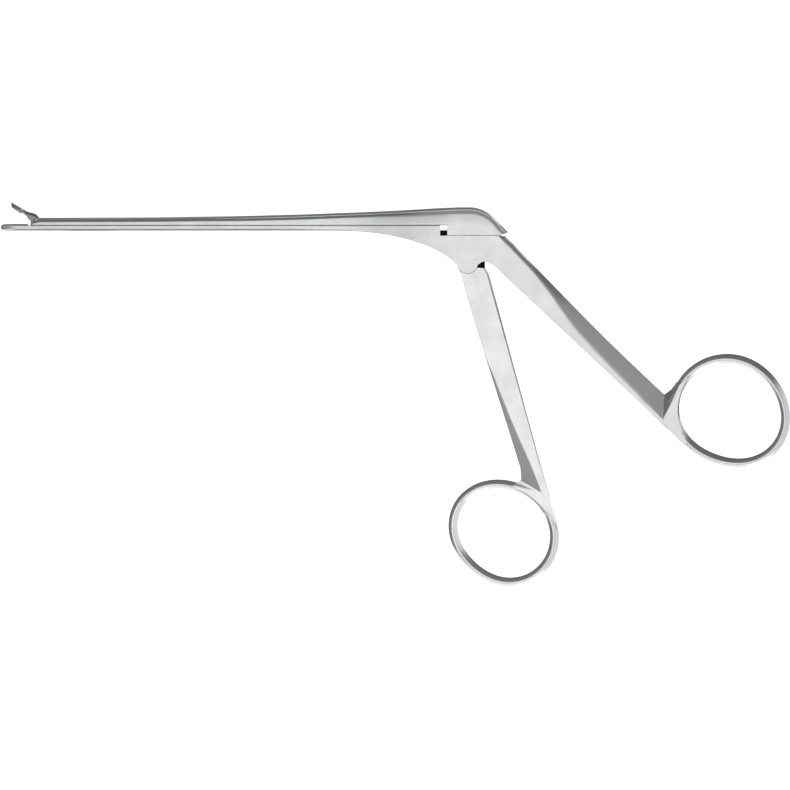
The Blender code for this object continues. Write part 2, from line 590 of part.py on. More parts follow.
def upper_jaw(parent, material):
    """Hinged cup jaw with its heel plate, modelled shut and opened by its rotation."""
    rim = JAW_PIVOT.y + LOWER_RIM + TIP_GAP
    crown = rim + UPPER_JAW_HEIGHT
    rows = jaw_sections(JAW_TIP, JAW_TIP + UPPER_JAW_LENGTH, rim, crown, rim + 0.7, crown - 0.3)
    rows = flip_sections(rows, rim, crown)
    mesh_data = bmesh.new()
    add_loft(mesh_data, rows)
    jaw = new_object("upper_jaw", mesh_data, material, parent, JAW_PIVOT)
    cup = (JAW_TIP + CUP_WALL + CUP_LENGTH / 2, rim)
    root = UPPER_JAW_LENGTH - JAW_REACH - 1.0
    heel = [(root, rim - JAW_PIVOT.y + 0.1), (HEEL_SLOT[0] + PLATE_GAP, rim - JAW_PIVOT.y),
            (-2.5 * HEEL_BOSS, 1.15 * HEEL_BOSS)]
    heel += arc((0, 0), HEEL_BOSS, 140, 350, 12)
    heel += [(0.35, 1.9), (0.1, 2.45), (-0.86, 2.85), (-1.6, 2.99), (-2.2, 2.85),
             (-3.2, 2.5), (root, 2.25)]
    heel = [tuple(Vector(point) + JAW_PIVOT) for point in heel]
    angle = 90 + JAW_OPENING / 2
    near = JAW_PIVOT + direction(angle) * LINK_HEIGHT
    far = JAW_PIVOT + direction(angle) * LINK_HEIGHT / math.cos(HALF_OPENING)
    radius = LINK_PIN / 2 + PIN_GAP
    link_slot = arc(far, radius, angle - 90, angle + 90, 8)
    link_slot += arc(near, radius, angle + 90, angle + 270, 8)
    holes = circle_outline(JAW_PIVOT, JAW_PIN / 2 + PIN_GAP)
    tools = [(cup_tool("upper_cup_tool", cup, parent), "DIFFERENCE"),
             (plate_tool("heel_tool", heel, HEEL_THICKNESS / 2, parent), "UNION"),
             (plate_tool("link_slot_tool", link_slot, BIG, parent), "DIFFERENCE"),
             (plate_tool("heel_hole_tool", holes, BIG, parent), "DIFFERENCE")]
    for tool, operation in tools:
        combine(jaw, tool, operation)
        tool.location -= jaw.location
        tool.parent = jaw
    jaw.rotation_euler.z = -math.radians(JAW_OPENING)
    return jaw


def front_handle(parent, material):
    """Front bar with its ring, its shoulders under the body's lobe and the forked lever."""
    bar = Bar(FRONT_CORNER, FRONT_ANGLE, 90)
    ring = Ring(FRONT_RING, bar.at(FRONT_LENGTH, -FRONT_FLARE))
    mesh_data = bmesh.new()
    add_loft(mesh_data, front_handle_ribs(ring, bar))
    handle = new_object("front_handle", mesh_data, material, parent)
    seat = circle_outline((0, 0), LOBE_RADIUS + SHOULDER_GAP, LOBE_SEGMENTS)
    combine(handle, plate_tool("shoulder_tool", seat, BIG, parent), "DIFFERENCE")

    lean = math.degrees(math.atan2(DRIVE_PIVOT.y, DRIVE_PIVOT.x))
    up, side = direction(lean), direction(lean - 90)
    tip = DRIVE_PIVOT + up * FORK_TOP
    half_fork = FORK_WIDTH / 2
    lever = [(-1.7, -3.6)]
    lever += arc((0, 0), LEVER_HUB, 215, 165, 5)
    lever += [tuple(tip - side * half_fork - up * 4.0), tuple(tip - side * half_fork),
              tuple(tip + side * half_fork), tuple(tip + side * half_fork - up * 4.0)]
    lever += arc((0, 0), LEVER_HUB, 20, 8, 2)
    lever += [(3.5, -0.05), (4.15, 0.15), (4.25, -2.6), (3.6, -4.2)]
    combine(handle, plate_tool("lever_tool", lever, LEVER_THICKNESS / 2, parent), "UNION")
    gap = DRIVE_PIN / 2 + PIN_GAP
    floor = DRIVE_PIVOT - up * (gap + 0.3)
    fork = [tuple(floor - side * gap), tuple(floor + side * gap),
            tuple(tip + side * gap + up), tuple(tip - side * gap + up)]
    combine(handle, plate_tool("fork_tool", fork, BIG, parent), "DIFFERENCE")
    hole = circle_outline((0, 0), HANDLE_PIN / 2 + PIN_GAP)
    combine(handle, plate_tool("lever_hole_tool", hole, BIG, parent), "DIFFERENCE")
    combine(handle, loft_tool("front_ring_tool", ring.sections(), parent, closed=True), "UNION")
    combine(handle, plate_tool("front_hole_tool", ring.hole(), BIG, parent), "DIFFERENCE")
    return handle


def build():
    for item in list(bpy.data.objects):
        bpy.data.objects.remove(item, do_unlink=True)
    datum = bpy.data.objects.new("handle_pivot_datum", None)
    bpy.context.collection.objects.link(datum)
    datum.location = (0.0, -PIVOT_DROP * MM, BODY_HALF * MM)
    fixed_frame(datum, steel("frame_steel", 0.72, 0.28))
    sliding_shaft(datum, steel("slide_steel", 0.70, 0.26))
    upper_jaw(datum, steel("jaw_steel", 0.66, 0.30))
    front_handle(datum, steel("handle_steel", 0.72, 0.28))
    pin("handle_pivot_pin", (0, 0), HANDLE_PIN, BODY_HALF, steel("handle_pin_steel", 0.70, 0.25), datum)
    pin("drive_pin", DRIVE_PIVOT, DRIVE_PIN, BODY_HALF - SLIDE_INSET,
        steel("drive_pin_steel", 0.70, 0.25), datum)
    pin("jaw_pivot_pin", JAW_PIVOT, JAW_PIN, SHAFT_HALF, steel("jaw_pin_steel", 0.68, 0.25), datum)
    pin("jaw_link_pin", LINK_PIVOT, LINK_PIN, SHAFT_HALF - SLIDE_BEVEL[1] / 2,
        steel("link_pin_steel", 0.68, 0.25), datum)


build()
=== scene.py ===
"""Looks of the biopsy forceps: forged and satin-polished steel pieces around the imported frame.

Lengths are in millimetres about the handle pivot, with X along the shaft, Y towards the shaft from
the handles and Z across the thickness. They turn into metres where a mesh is made.
"""
import json
import math

import bmesh
import bpy
import numpy as np
from bpy.props import FloatProperty, FloatVectorProperty, PointerProperty
from mathutils import Matrix, Vector


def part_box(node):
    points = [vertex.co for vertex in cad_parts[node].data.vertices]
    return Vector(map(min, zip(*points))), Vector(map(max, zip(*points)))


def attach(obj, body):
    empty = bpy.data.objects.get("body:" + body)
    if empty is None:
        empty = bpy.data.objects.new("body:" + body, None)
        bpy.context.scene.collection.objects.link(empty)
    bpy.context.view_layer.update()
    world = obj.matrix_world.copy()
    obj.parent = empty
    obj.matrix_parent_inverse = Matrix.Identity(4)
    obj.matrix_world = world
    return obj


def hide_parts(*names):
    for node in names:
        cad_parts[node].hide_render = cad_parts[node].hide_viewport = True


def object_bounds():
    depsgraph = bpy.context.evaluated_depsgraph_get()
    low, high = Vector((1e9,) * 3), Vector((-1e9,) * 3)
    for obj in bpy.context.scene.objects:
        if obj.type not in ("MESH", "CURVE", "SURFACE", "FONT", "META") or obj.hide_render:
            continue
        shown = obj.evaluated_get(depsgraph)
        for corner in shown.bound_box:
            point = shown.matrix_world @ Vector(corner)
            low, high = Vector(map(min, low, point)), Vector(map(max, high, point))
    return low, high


bl_info = {
    "name": "Biopsy Forceps",
    "version": (1, 0, 0),
    "blender": (4, 5, 0),
    "location": "View3D > Sidebar > Forceps",
    "description": "Builds the forceps' steel pieces, their finishes and a studio around them",
    "category": "Add Mesh",
}

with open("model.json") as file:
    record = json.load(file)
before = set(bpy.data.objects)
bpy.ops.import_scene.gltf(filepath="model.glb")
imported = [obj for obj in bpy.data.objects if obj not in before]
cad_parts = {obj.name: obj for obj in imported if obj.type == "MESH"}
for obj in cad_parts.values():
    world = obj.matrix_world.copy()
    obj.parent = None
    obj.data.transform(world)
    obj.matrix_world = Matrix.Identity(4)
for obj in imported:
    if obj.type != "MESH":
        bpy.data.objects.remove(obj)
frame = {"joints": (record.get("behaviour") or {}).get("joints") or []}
CAD_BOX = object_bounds()

MM = 0.001
SHARP_ANGLE = 32.0
GRAIN_MAP = "grain"
JOINTS = {joint["name"]: joint for joint in frame["joints"]}
PIVOT = Vector(JOINTS["handle_pivot"]["pos_m"])


def centre_of(node):
    """Middle of a CAD node in millimetres about the handle pivot."""
    low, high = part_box(node)
    return ((low + high) / 2 - PIVOT) / MM


def half_length_of(node):
    """Half the height of a CAD node across the thickness, in millimetres."""
    low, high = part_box(node)
    return (high.z - low.z) / 2 / MM


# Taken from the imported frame
JAW_PIVOT = centre_of("jaw_pivot_pin").xy
LINK_PIVOT = centre_of("jaw_link_pin").xy
DRIVE_PIVOT = centre_of("drive_pin").xy
BODY_HALF = half_length_of("handle_pivot_pin")
SHAFT_HALF = half_length_of("jaw_pivot_pin")
JAW_OPENING = JOINTS["jaw_pivot"]["range_deg"][1]
TRAVEL = 2 * (LINK_PIVOT.x - JAW_PIVOT.x)

# Shaft and body
SEAM = 9.45
SLIDE_GAP = 0.05
FRAME_TOP = SEAM - SLIDE_GAP / 2
SHAFT_BOTTOM = SEAM - 1.325
SHAFT_TOP = SEAM + 1.94
BODY_SEAT = 6.85
BODY_GAP = 0.012
LOBE_RADIUS = 2.575
STEP_X = -6.85
STEP_RUN = 0.001
UNDERCUT = (-33.0, -1.0, 12.65)
FLARE = (-31.0, -3.0)
JAW_TIP = JAW_PIVOT.x - 8.4
RIM_END = LINK_PIVOT.x - TRAVEL - 1.0
RIM_TOP = JAW_PIVOT.y + 0.9
CUP_X = JAW_PIVOT.x - 6.45
CUP_SIZE = (1.45, 0.75, 1.0)
HEEL_SLOT_HALF = 0.55
LEVER_SLOT_HALF = 1.0
LUG_X = JAW_PIVOT.x + 12.225
LUG_HALF = 2.0

# Slide
SLIDE_TOPS = ((-105.6, SHAFT_TOP), (-79.4, SHAFT_TOP + 0.09), (-56.9, 11.8), (-41.9, 12.18),
              (-26.9, 12.75), (-16.9, 13.2), (-6.9, 13.76), (-2.4, 13.96))
CROWN = (0.3, 14.0)
CROWN_RADIUS = 9.0
CROWNED_RUN = 4.8
BACK_SLOPE = 46.0
BACK_LENGTH = 4.95
NOSE_REACH = 0.9
SLIDE_STEP = STEP_X + 1.8
SLIDE_INSET = 0.03
SEAT_EDGE = (0.3, 0.03)

# Handles
REAR_CORNER = (9.42, BODY_SEAT)
REAR_ANGLE = -45.5
REAR_LENGTH = 55.6
REAR_WIDTHS = (7.4, 5.1)
FRONT_CORNER = (-0.65, -6.7)
FRONT_ANGLE = -72.46
FRONT_LENGTH = 49.15
FRONT_WIDTHS = (6.85, 4.85)
RING_FLAT_HALF = 2.0
RING_BAND = 2.3
RING_CREST_HALF = 1.9
RING_CREST = 0.4
RING_SLOPE = 0.42
RING_SEGMENTS = 144

# Between bar and ring: the valley's outer end, and the crease from the valley's inner end outwards
REAR_VALLEY = (49.2, -32.75)
REAR_CREASE = ((48.73, -39.05), (51.25, -34.1), (52.93, -30.4))
FRONT_VALLEY = (13.45, -53.95)
FRONT_CREASE = ((18.5, -57.3), (14.9, -56.35), (11.8, -55.35))

# Bend of the rear outer edge behind its valley, and the edge's end at the ring
REAR_TURN = (50.9, -31.55)
REAR_SHOULDER = (52.15, -29.75)

# Offset of the front shelf from its valley, and of the shelf's foot from the crease
FRONT_SHELF = (-0.22, -0.2)
FRONT_STEP = (0.05, 0.28)

# Behind the crest: low side's turn and distance beyond the hole, high side's, and the drop
REAR_SINK = ((40.0, 3.1, -24.0, 0.9, 0.03), (47.0, 2.7, -16.0, 0.3, 0.06),
             (54.0, 2.4, 5.0, 0.1, 0.1), (62.0, 2.1, 36.0, 1.1, 0.2))
FRONT_SINK = ((50.5, 2.5, -10.0, 0.9, 0.03), (58.5, 2.3, 8.0, 0.3, 0.06),
              (64.5, 2.2, 30.0, 0.1, 0.1), (72.0, 1.7, 52.5, 0.25, 0.36))


def smooth(value):
    """Ease from 0 to 1."""
    value = min(max(value, 0.0), 1.0)
    return value * value * (3 - 2 * value)


def direction(angle):
    return Vector((math.cos(math.radians(angle)), math.sin(math.radians(angle))))


def half_width(x):
    """Half the thickness of shaft and body at x."""
    return SHAFT_HALF + (BODY_HALF - SHAFT_HALF) * smooth((x - FLARE[0]) / (FLARE[1] - FLARE[0]))


def underside(x):
    """Height of the frame's lower outline at x."""
    run = min(max((x - UNDERCUT[0]) / (UNDERCUT[1] - UNDERCUT[0]), 0.0), 1.0)
    return SHAFT_BOTTOM - UNDERCUT[2] * (1 - math.sqrt(1 - run * run))


def slide_top(x):
    """Height of the slide's upper outline at x, up to its crown."""
    return float(np.interp(x, *zip(*SLIDE_TOPS)))


# Sections and skins

def row(low, high, half, low_edge, high_edge, ease, flank_end=None, ridge_at=None):
    """Upper half of a section, as six corners of x, y, z and easing, from its low to its high side.

    An edge is its facet's width and its drop. A narrow ridge runs halfway down the high facet.
    flank_end moves the flank's high corner in plan, and ridge_at the ridge.
    """
    low, high = Vector(low), Vector(high)
    along = (high - low).normalized()
    start = low + along * low_edge[0]
    end = high - along * high_edge[0] if flank_end is None else Vector(flank_end)
    middle = end.lerp(high, 0.5) if ridge_at is None else Vector(ridge_at)
    middle_z = half - high_edge[1] * 0.5
    ridge_width = 0.08
    after = middle.lerp(high, ridge_width)
    after_z = middle_z + (half - high_edge[1] - middle_z) * ridge_width
    bend = 0.03
    return [low.x, low.y, half - low_edge[1], ease[0],
            start.x, start.y, half, ease[1],
            end.x, end.y, half, ease[2],
            middle.x, middle.y, middle_z, bend,
            after.x, after.y, after_z, bend,
            high.x, high.y, half - high_edge[1], ease[3]]


def fill_rows(keys, spacing):
    """Rows between the given ones, on curves through them that don't overshoot."""
    table = np.array(keys)
    middles = (table[:, 0:2] + table[:, -4:-2]) / 2
    gaps = np.maximum(np.linalg.norm(np.diff(middles, axis=0), axis=1), 1e-3)
    rises = np.diff(table, axis=0) / gaps[:, None]
    slopes = np.zeros_like(table)
    slopes[0], slopes[-1] = rises[0], rises[-1]
    for index in range(1, len(table) - 1):
        before, after = rises[index - 1], rises[index]
        same = before * after > 0
        slopes[index, same] = 2 * before[same] * after[same] / (before[same] + after[same])
    rows = []
    for index, gap in enumerate(gaps):
        count = max(1, math.ceil(gap / spacing))
        for step in range(count):
            t = step / count
            rows.append(table[index] * (2 * t ** 3 - 3 * t ** 2 + 1)
                        + slopes[index] * gap * (t ** 3 - 2 * t ** 2 + t)
                        + table[index + 1] * (3 * t ** 2 - 2 * t ** 3)
                        + slopes[index + 1] * gap * (t ** 3 - t ** 2))
    rows.append(table[-1])
    return rows


def straight_rows(first, last, shares):
    """Rows at shares of the way from one row to another."""
    first, last = np.array(first), np.array(last)
    return [first + (last - first) * share for share in shares]


def eased(corners, reaches, steps):
    """Closed outline with each corner replaced by a short curve."""
    points = []
    for index, corner in enumerate(corners):
        back = corners[index - 1] - corner
        ahead = corners[(index + 1) % len(corners)] - corner
        start = corner + back.normalized() * min(reaches[index], back.length * 0.45)
        end = corner + ahead.normalized() * min(reaches[index], ahead.length * 0.45)
        for step in range(steps + 1):
            t = step / steps
            points.append(start * (1 - t) ** 2 + corner * 2 * t * (1 - t) + end * t ** 2)
    return points


def section(numbers, steps=3):
    """Outline in space of a row and its mirror image across the thickness."""
    upper = [numbers[k:k + 4] for k in range(0, len(numbers), 4)]
    lower = [(x, y, -z, reach) for x, y, z, reach in reversed(upper)]
    corners = [Vector((x, y, z)) for x, y, z, _ in upper + lower]
    return eased(corners, [reach for _, _, _, reach in upper + lower], steps)


def finish_mesh(name, mesh_data, material):
    bmesh.ops.triangulate(mesh_data, faces=mesh_data.faces[:])
    bmesh.ops.recalc_face_normals(mesh_data, faces=mesh_data.faces)
    mesh = bpy.data.meshes.new(name)
    mesh_data.to_mesh(mesh)
    mesh_data.free()
    mesh.materials.append(material)
    item = bpy.data.objects.new(name, mesh)
    bpy.context.collection.objects.link(item)
    return item


def skin(name, sections, material, closed=False):
    """Object skinned over sections of equal point counts, with its grain map along them."""
    mesh_data = bmesh.new()
    grain = mesh_data.loops.layers.uv.new(GRAIN_MAP)
    count = len(sections[0])
    rows = [[mesh_data.verts.new(point) for point in outline] for outline in sections]
    middles = [sum(outline, Vector()) / count for outline in sections]
    around = [0.0]
    for index in range(count):
        around.append(around[-1] + (sections[len(sections) // 2][(index + 1) % count]
                                    - sections[len(sections) // 2][index]).length)
    along = 0.0
    last = len(sections) if closed else len(sections) - 1
    for index in range(last):
        after = (index + 1) % len(sections)
        ahead = along + (middles[after] - middles[index]).length
        for side in range(count):
            over = (side + 1) % count
            face = mesh_data.faces.new((rows[index][side], rows[index][over],
                                        rows[after][over], rows[after][side]))
            places = ((along, around[side]), (along, around[side + 1]),
                      (ahead, around[side + 1]), (ahead, around[side]))
            for loop, place in zip(face.loops, places):
                loop[grain].uv = place
        along = ahead
    if not closed:
        for outline, middle in ((rows[0], middles[0]), (rows[-1], middles[-1])):
            hub = mesh_data.verts.new(middle)
            for side in range(count):
                face = mesh_data.faces.new((hub, outline[side], outline[(side + 1) % count]))
                for loop in face.loops:
                    loop[grain].uv = (loop.vert.co.z, loop.vert.co.y)
    return finish_mesh(name, mesh_data, material)


def plate(name, outline, low, high, material):
    """Flat plate from an outline in plan, between two heights across the thickness."""
    mesh_data = bmesh.new()
    grain = mesh_data.loops.layers.uv.new(GRAIN_MAP)
    rows = [[mesh_data.verts.new((x, y, z)) for x, y in outline] for z in (low, high)]
    faces = [mesh_data.faces.new(reversed(rows[0])), mesh_data.faces.new(rows[1])]
    for index in range(len(outline)):
        after = (index + 1) % len(outline)
        faces.append(mesh_data.faces.new((rows[0][index], rows[0][after],
                                          rows[1][after], rows[1][index])))
    for face in faces:
        for loop in face.loops:
            loop[grain].uv = (loop.vert.co.x, loop.vert.co.y + loop.vert.co.z)
    return finish_mesh(name, mesh_data, material)


def box_outline(x_range, y_range):
    (left, right), (low, high) = x_range, y_range
    return [(left, low), (right, low), (right, high), (left, high)]


def arc(centre, radius, start, end, steps):
    """Points on an arc from one angle to another, both included."""
    return [tuple(Vector(centre) + radius * direction(start + (end - start) * k / steps))
            for k in range(steps + 1)]


def circle(centre, radius, segments):
    return arc(centre, radius, 0, 360 * (segments - 1) / segments, segments - 1)


def apply_modifiers(item):
    """Replaces the object's mesh by what its modifiers make of it."""
    depsgraph = bpy.context.evaluated_depsgraph_get()
    mesh = bpy.data.meshes.new_from_object(item.evaluated_get(depsgraph),
                                           preserve_all_data_layers=True, depsgraph=depsgraph)
    item.modifiers.clear()
    mesh.name = item.data.name
    item.data = mesh


def cut(target, tool, operation="DIFFERENCE"):
    """Boolean of a piece with a tool, which is used up."""
    modifier = target.modifiers.new("cut", "BOOLEAN")
    modifier.object = tool
    modifier.operation = operation
    modifier.solver = "EXACT"
    modifier.material_mode = "TRANSFER"
    apply_modifiers(target)
    bpy.data.objects.remove(tool, do_unlink=True)


def dress(item, body, nodes):
    """Turns a finished piece into metres, shades it and puts it on its body in its nodes' place."""
    mesh_data = bmesh.new()
    mesh_data.from_mesh(item.data)
    bmesh.ops.dissolve_degenerate(mesh_data, edges=mesh_data.edges, dist=0.0005)
    mesh_data.to_mesh(item.data)
    mesh_data.free()
    item.data.transform(Matrix.Translation(PIVOT) @ Matrix.Scale(MM, 4))
    item.data.shade_smooth()
    item.data.set_sharp_from_angle(angle=math.radians(SHARP_ANGLE))
    modifier = item.modifiers.new("even_normals", "WEIGHTED_NORMAL")
    modifier.keep_sharp = True
    modifier.weight = 80
    apply_modifiers(item)
    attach(item, body)
    if nodes:
        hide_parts(*nodes)


# Finger rings and bars

class Ring:
    """Finger ring with an oval, slightly egg-shaped hole, set against the end of a bar."""

    def __init__(self, radius, oval, egg, at, touch, standoff, bevel):
        self.size, self.oval, self.egg, self.at, self.bevel = radius, oval, egg, at, bevel
        self.centre = Vector(touch) - direction(at) * (self.radius(at) + standoff)

    def radius(self, angle):
        oval = self.oval[0] * math.cos(2 * math.radians(angle - self.oval[1]))
        egg = self.egg[0] * math.cos(3 * math.radians(angle - self.egg[1]))
        return self.size + oval + egg

    def point(self, angle, beyond):
        """Point at a distance outside the hole's edge."""
        return self.centre + direction(angle) * (self.radius(angle) + beyond)

    def facet(self, angle, side):
        """Width and drop of the band's inner (-1) or outer (1) facet, wider where it faces up or right."""
        lean = 0.28 * sum(direction(angle))
        wide = (RING_BAND - RING_CREST) / 2 * (1 + side * lean)
        return wide, wide * RING_SLOPE

    def band(self, name, material):
        """The ring's own band, crested and bevelled to both edges."""
        sections = []
        for k in range(RING_SEGMENTS):
            angle = 360 * k / RING_SEGMENTS
            numbers = row(self.point(angle, 0), self.point(angle, RING_BAND), RING_CREST_HALF,
                          self.facet(angle, -1), self.facet(angle, 1), (0.05, 0.1, 0.1, 0.05))
            sections.append(section(numbers))
        return skin(name, sections, material, closed=True)

    def reamer(self, name, material):
        """Tool that opens the hole in a bar's end, with a facet that is narrow where the bar comes in."""
        sections = []
        for k in range(RING_SEGMENTS):
            angle = 360 * k / RING_SEGMENTS
            away = abs((angle - self.at + 180) % 360 - 180)
            near_bar = 1 - smooth(away / 60)
            rim = RING_CREST_HALF - self.facet(angle, -1)[1] + 0.09
            start = rim + (RING_FLAT_HALF - 0.3 - rim) * near_bar
            slope = RING_SLOPE + (self.bevel - RING_SLOPE) * near_bar
            top = BODY_HALF + 0.6
            low, mid = self.point(angle, 0.06), self.point(angle, 0.06 + (top - start) / slope)
            inner = self.centre + direction(angle)
            corners = [(inner, top), (mid, top), (low, start), (low, -start), (mid, -top),
                       (inner, -top)]
            sections.append([Vector((point.x, point.y, z)) for point, z in corners])
        return skin(name, sections, material, closed=True)


class Bar:
    """Handle bar's own axes: along its faceted outer edge, and inwards across its width."""

    def __init__(self, corner, angle, inward_turn):
        self.corner = Vector(corner)
        self.along = direction(angle)
        self.inward = direction(angle + inward_turn)

    def at(self, run, across):
        return self.corner + self.along * run + self.inward * across


def bar_rows(bar, length, widths, facets, inners, ease):
    """Rows along a bar, each a share of its length, thinning, facet width and drop, and bulge."""
    rows = []
    for (share, thinning, wide, drop, bulge), inner in zip(facets, inners):
        half = BODY_HALF + (RING_FLAT_HALF - BODY_HALF) * thinning
        low = bar.at(length * share, widths[0] + (widths[1] - widths[0]) * share)
        rows.append(row(low, bar.at(length * share, -bulge), half, inner, (wide, drop), ease))
    return rows


# Finishes

def add_group_socket(group, name, kind, output=False, default=None):
    socket = group.interface.new_socket(name=name, in_out="OUTPUT" if output else "INPUT",
                                        socket_type=kind)
    if default is not None:
        socket.default_value = default


def math_node(nodes, links, operation, first, second):
    node = nodes.new("ShaderNodeMath")
    node.operation = operation
    for socket, value in zip(node.inputs, (first, second)):
        if isinstance(value, (int, float)):
            socket.default_value = value
        else:
            links.new(value, socket)
    return node.outputs[0]


def grain_group():
    """Polishing grain: fine lines along the piece and a few longer scratches."""
    group = bpy.data.node_groups.new("polishing_grain", "ShaderNodeTree")
    for name, default in (("Lines per mm", 6.0), ("Stretch", 30.0), ("Scratches", 0.5)):
        add_group_socket(group, name, "NodeSocketFloat", default=default)
    add_group_socket(group, "Height", "NodeSocketFloat", output=True)
    add_group_socket(group, "Scratch", "NodeSocketFloat", output=True)
    nodes, links = group.nodes, group.links
    entry, out = nodes.new("NodeGroupInput"), nodes.new("NodeGroupOutput")
    place = nodes.new("ShaderNodeUVMap")
    place.uv_map = GRAIN_MAP
    parts = nodes.new("ShaderNodeSeparateXYZ")
    links.new(place.outputs["UV"], parts.inputs[0])
    across = math_node(nodes, links, "MULTIPLY", parts.outputs["Y"], entry.outputs["Lines per mm"])
    run = math_node(nodes, links, "MULTIPLY", parts.outputs["X"], entry.outputs["Lines per mm"])
    slow = math_node(nodes, links, "DIVIDE", run, entry.outputs["Stretch"])
    vector = nodes.new("ShaderNodeCombineXYZ")
    links.new(slow, vector.inputs["X"])
    links.new(across, vector.inputs["Y"])
    lines = nodes.new("ShaderNodeTexNoise")
    lines.inputs["Scale"].default_value = 1.0
    lines.inputs["Detail"].default_value = 3.0
    lines.inputs["Roughness"].default_value = 0.6
    links.new(vector.outputs[0], lines.inputs["Vector"])
    coarse = nodes.new("ShaderNodeVectorMath")
    coarse.operation = "MULTIPLY"
    coarse.inputs[1].default_value = (0.35, 0.5, 1.0)
    links.new(vector.outputs[0], coarse.inputs[0])
    scratch = nodes.new("ShaderNodeTexNoise")
    scratch.inputs["Scale"].default_value = 1.0
    scratch.inputs["Detail"].default_value = 1.0
    scratch.inputs["Distortion"].default_value = 0.6
    links.new(coarse.outputs[0], scratch.inputs["Vector"])
    mask = nodes.new("ShaderNodeMapRange")
    mask.interpolation_type = "SMOOTHSTEP"
    mask.inputs["From Min"].default_value = 0.66
    mask.inputs["From Max"].default_value = 0.74
    links.new(scratch.outputs["Fac"], mask.inputs["Value"])
    weak = math_node(nodes, links, "MULTIPLY", mask.outputs["Result"], entry.outputs["Scratches"])
    height = math_node(nodes, links, "SUBTRACT", lines.outputs["Fac"], weak)
    links.new(height, out.inputs["Height"])
    links.new(weak, out.inputs["Scratch"])
    return group


def handling_group():
    """Slow variation from polishing and handling: smudges, and a slight unevenness of the flanks."""
    group = bpy.data.node_groups.new("handling_marks", "ShaderNodeTree")
    for name, default in (("Size mm", 6.0), ("Contrast", 1.0)):
        add_group_socket(group, name, "NodeSocketFloat", default=default)
    add_group_socket(group, "Smudge", "NodeSocketFloat", output=True)
    add_group_socket(group, "Swell", "NodeSocketFloat", output=True)
    nodes, links = group.nodes, group.links
    entry, out = nodes.new("NodeGroupInput"), nodes.new("NodeGroupOutput")
    place = nodes.new("ShaderNodeTexCoord")
    scale = math_node(nodes, links, "DIVIDE", 1000.0, entry.outputs["Size mm"])
    smudge = nodes.new("ShaderNodeTexNoise")
    smudge.inputs["Detail"].default_value = 4.0
    smudge.inputs["Roughness"].default_value = 0.55
    links.new(place.outputs["Object"], smudge.inputs["Vector"])
    links.new(scale, smudge.inputs["Scale"])
    spread = nodes.new("ShaderNodeMapRange")
    spread.inputs["From Min"].default_value = 0.35
    spread.inputs["From Max"].default_value = 0.65
    links.new(smudge.outputs["Fac"], spread.inputs["Value"])
    strength = math_node(nodes, links, "MULTIPLY", spread.outputs["Result"],
                         entry.outputs["Contrast"])
    swell = nodes.new("ShaderNodeTexNoise")
    swell.inputs["Detail"].default_value = 0.0
    half_scale = math_node(nodes, links, "MULTIPLY", scale, 0.5)
    links.new(place.outputs["Object"], swell.inputs["Vector"])
    links.new(half_scale, swell.inputs["Scale"])
    links.new(strength, out.inputs["Smudge"])
    links.new(swell.outputs["Fac"], out.inputs["Swell"])
    return group


def steel(name, shade, dark_shade, roughness, grain, swell, lines=6.0, scratches=0.5):
    """Steel finish: colour and roughness vary with grain and smudges, bump from grain and swell."""
    groups = {key: bpy.data.node_groups.get(key) for key in ("polishing_grain", "handling_marks")}
    material = bpy.data.materials.new(name)
    material.use_nodes = True
    nodes, links = material.node_tree.nodes, material.node_tree.links
    shader = nodes["Principled BSDF"]
    shader.inputs["Metallic"].default_value = 1.0
    lines_node = nodes.new("ShaderNodeGroup")
    lines_node.node_tree = groups["polishing_grain"]
    lines_node.inputs["Lines per mm"].default_value = lines
    lines_node.inputs["Scratches"].default_value = scratches
    marks = nodes.new("ShaderNodeGroup")
    marks.node_tree = groups["handling_marks"]
    tone = nodes.new("ShaderNodeMix")
    tone.data_type = "RGBA"
    tone.inputs["A"].default_value = (*shade, 1.0)
    tone.inputs["B"].default_value = (*dark_shade, 1.0)
    wear = math_node(nodes, links, "MULTIPLY", marks.outputs["Smudge"], 0.6)
    wear = math_node(nodes, links, "ADD", wear, lines_node.outputs["Scratch"])
    links.new(wear, tone.inputs["Factor"])
    links.new(tone.outputs["Result"], shader.inputs["Base Color"])
    matt = nodes.new("ShaderNodeMapRange")
    matt.inputs["To Min"].default_value = roughness[0]
    matt.inputs["To Max"].default_value = roughness[1]
    links.new(wear, matt.inputs["Value"])
    links.new(matt.outputs["Result"], shader.inputs["Roughness"])
    broad = nodes.new("ShaderNodeBump")
    broad.inputs["Strength"].default_value = 1.0
    broad.inputs["Distance"].default_value = swell * MM
    links.new(marks.outputs["Swell"], broad.inputs["Height"])
    fine = nodes.new("ShaderNodeBump")
    fine.inputs["Strength"].default_value = 1.0
    fine.inputs["Distance"].default_value = grain * MM
    links.new(lines_node.outputs["Height"], fine.inputs["Height"])
    links.new(broad.outputs["Normal"], fine.inputs["Normal"])
    links.new(fine.outputs["Normal"], shader.inputs["Normal"])
    return material


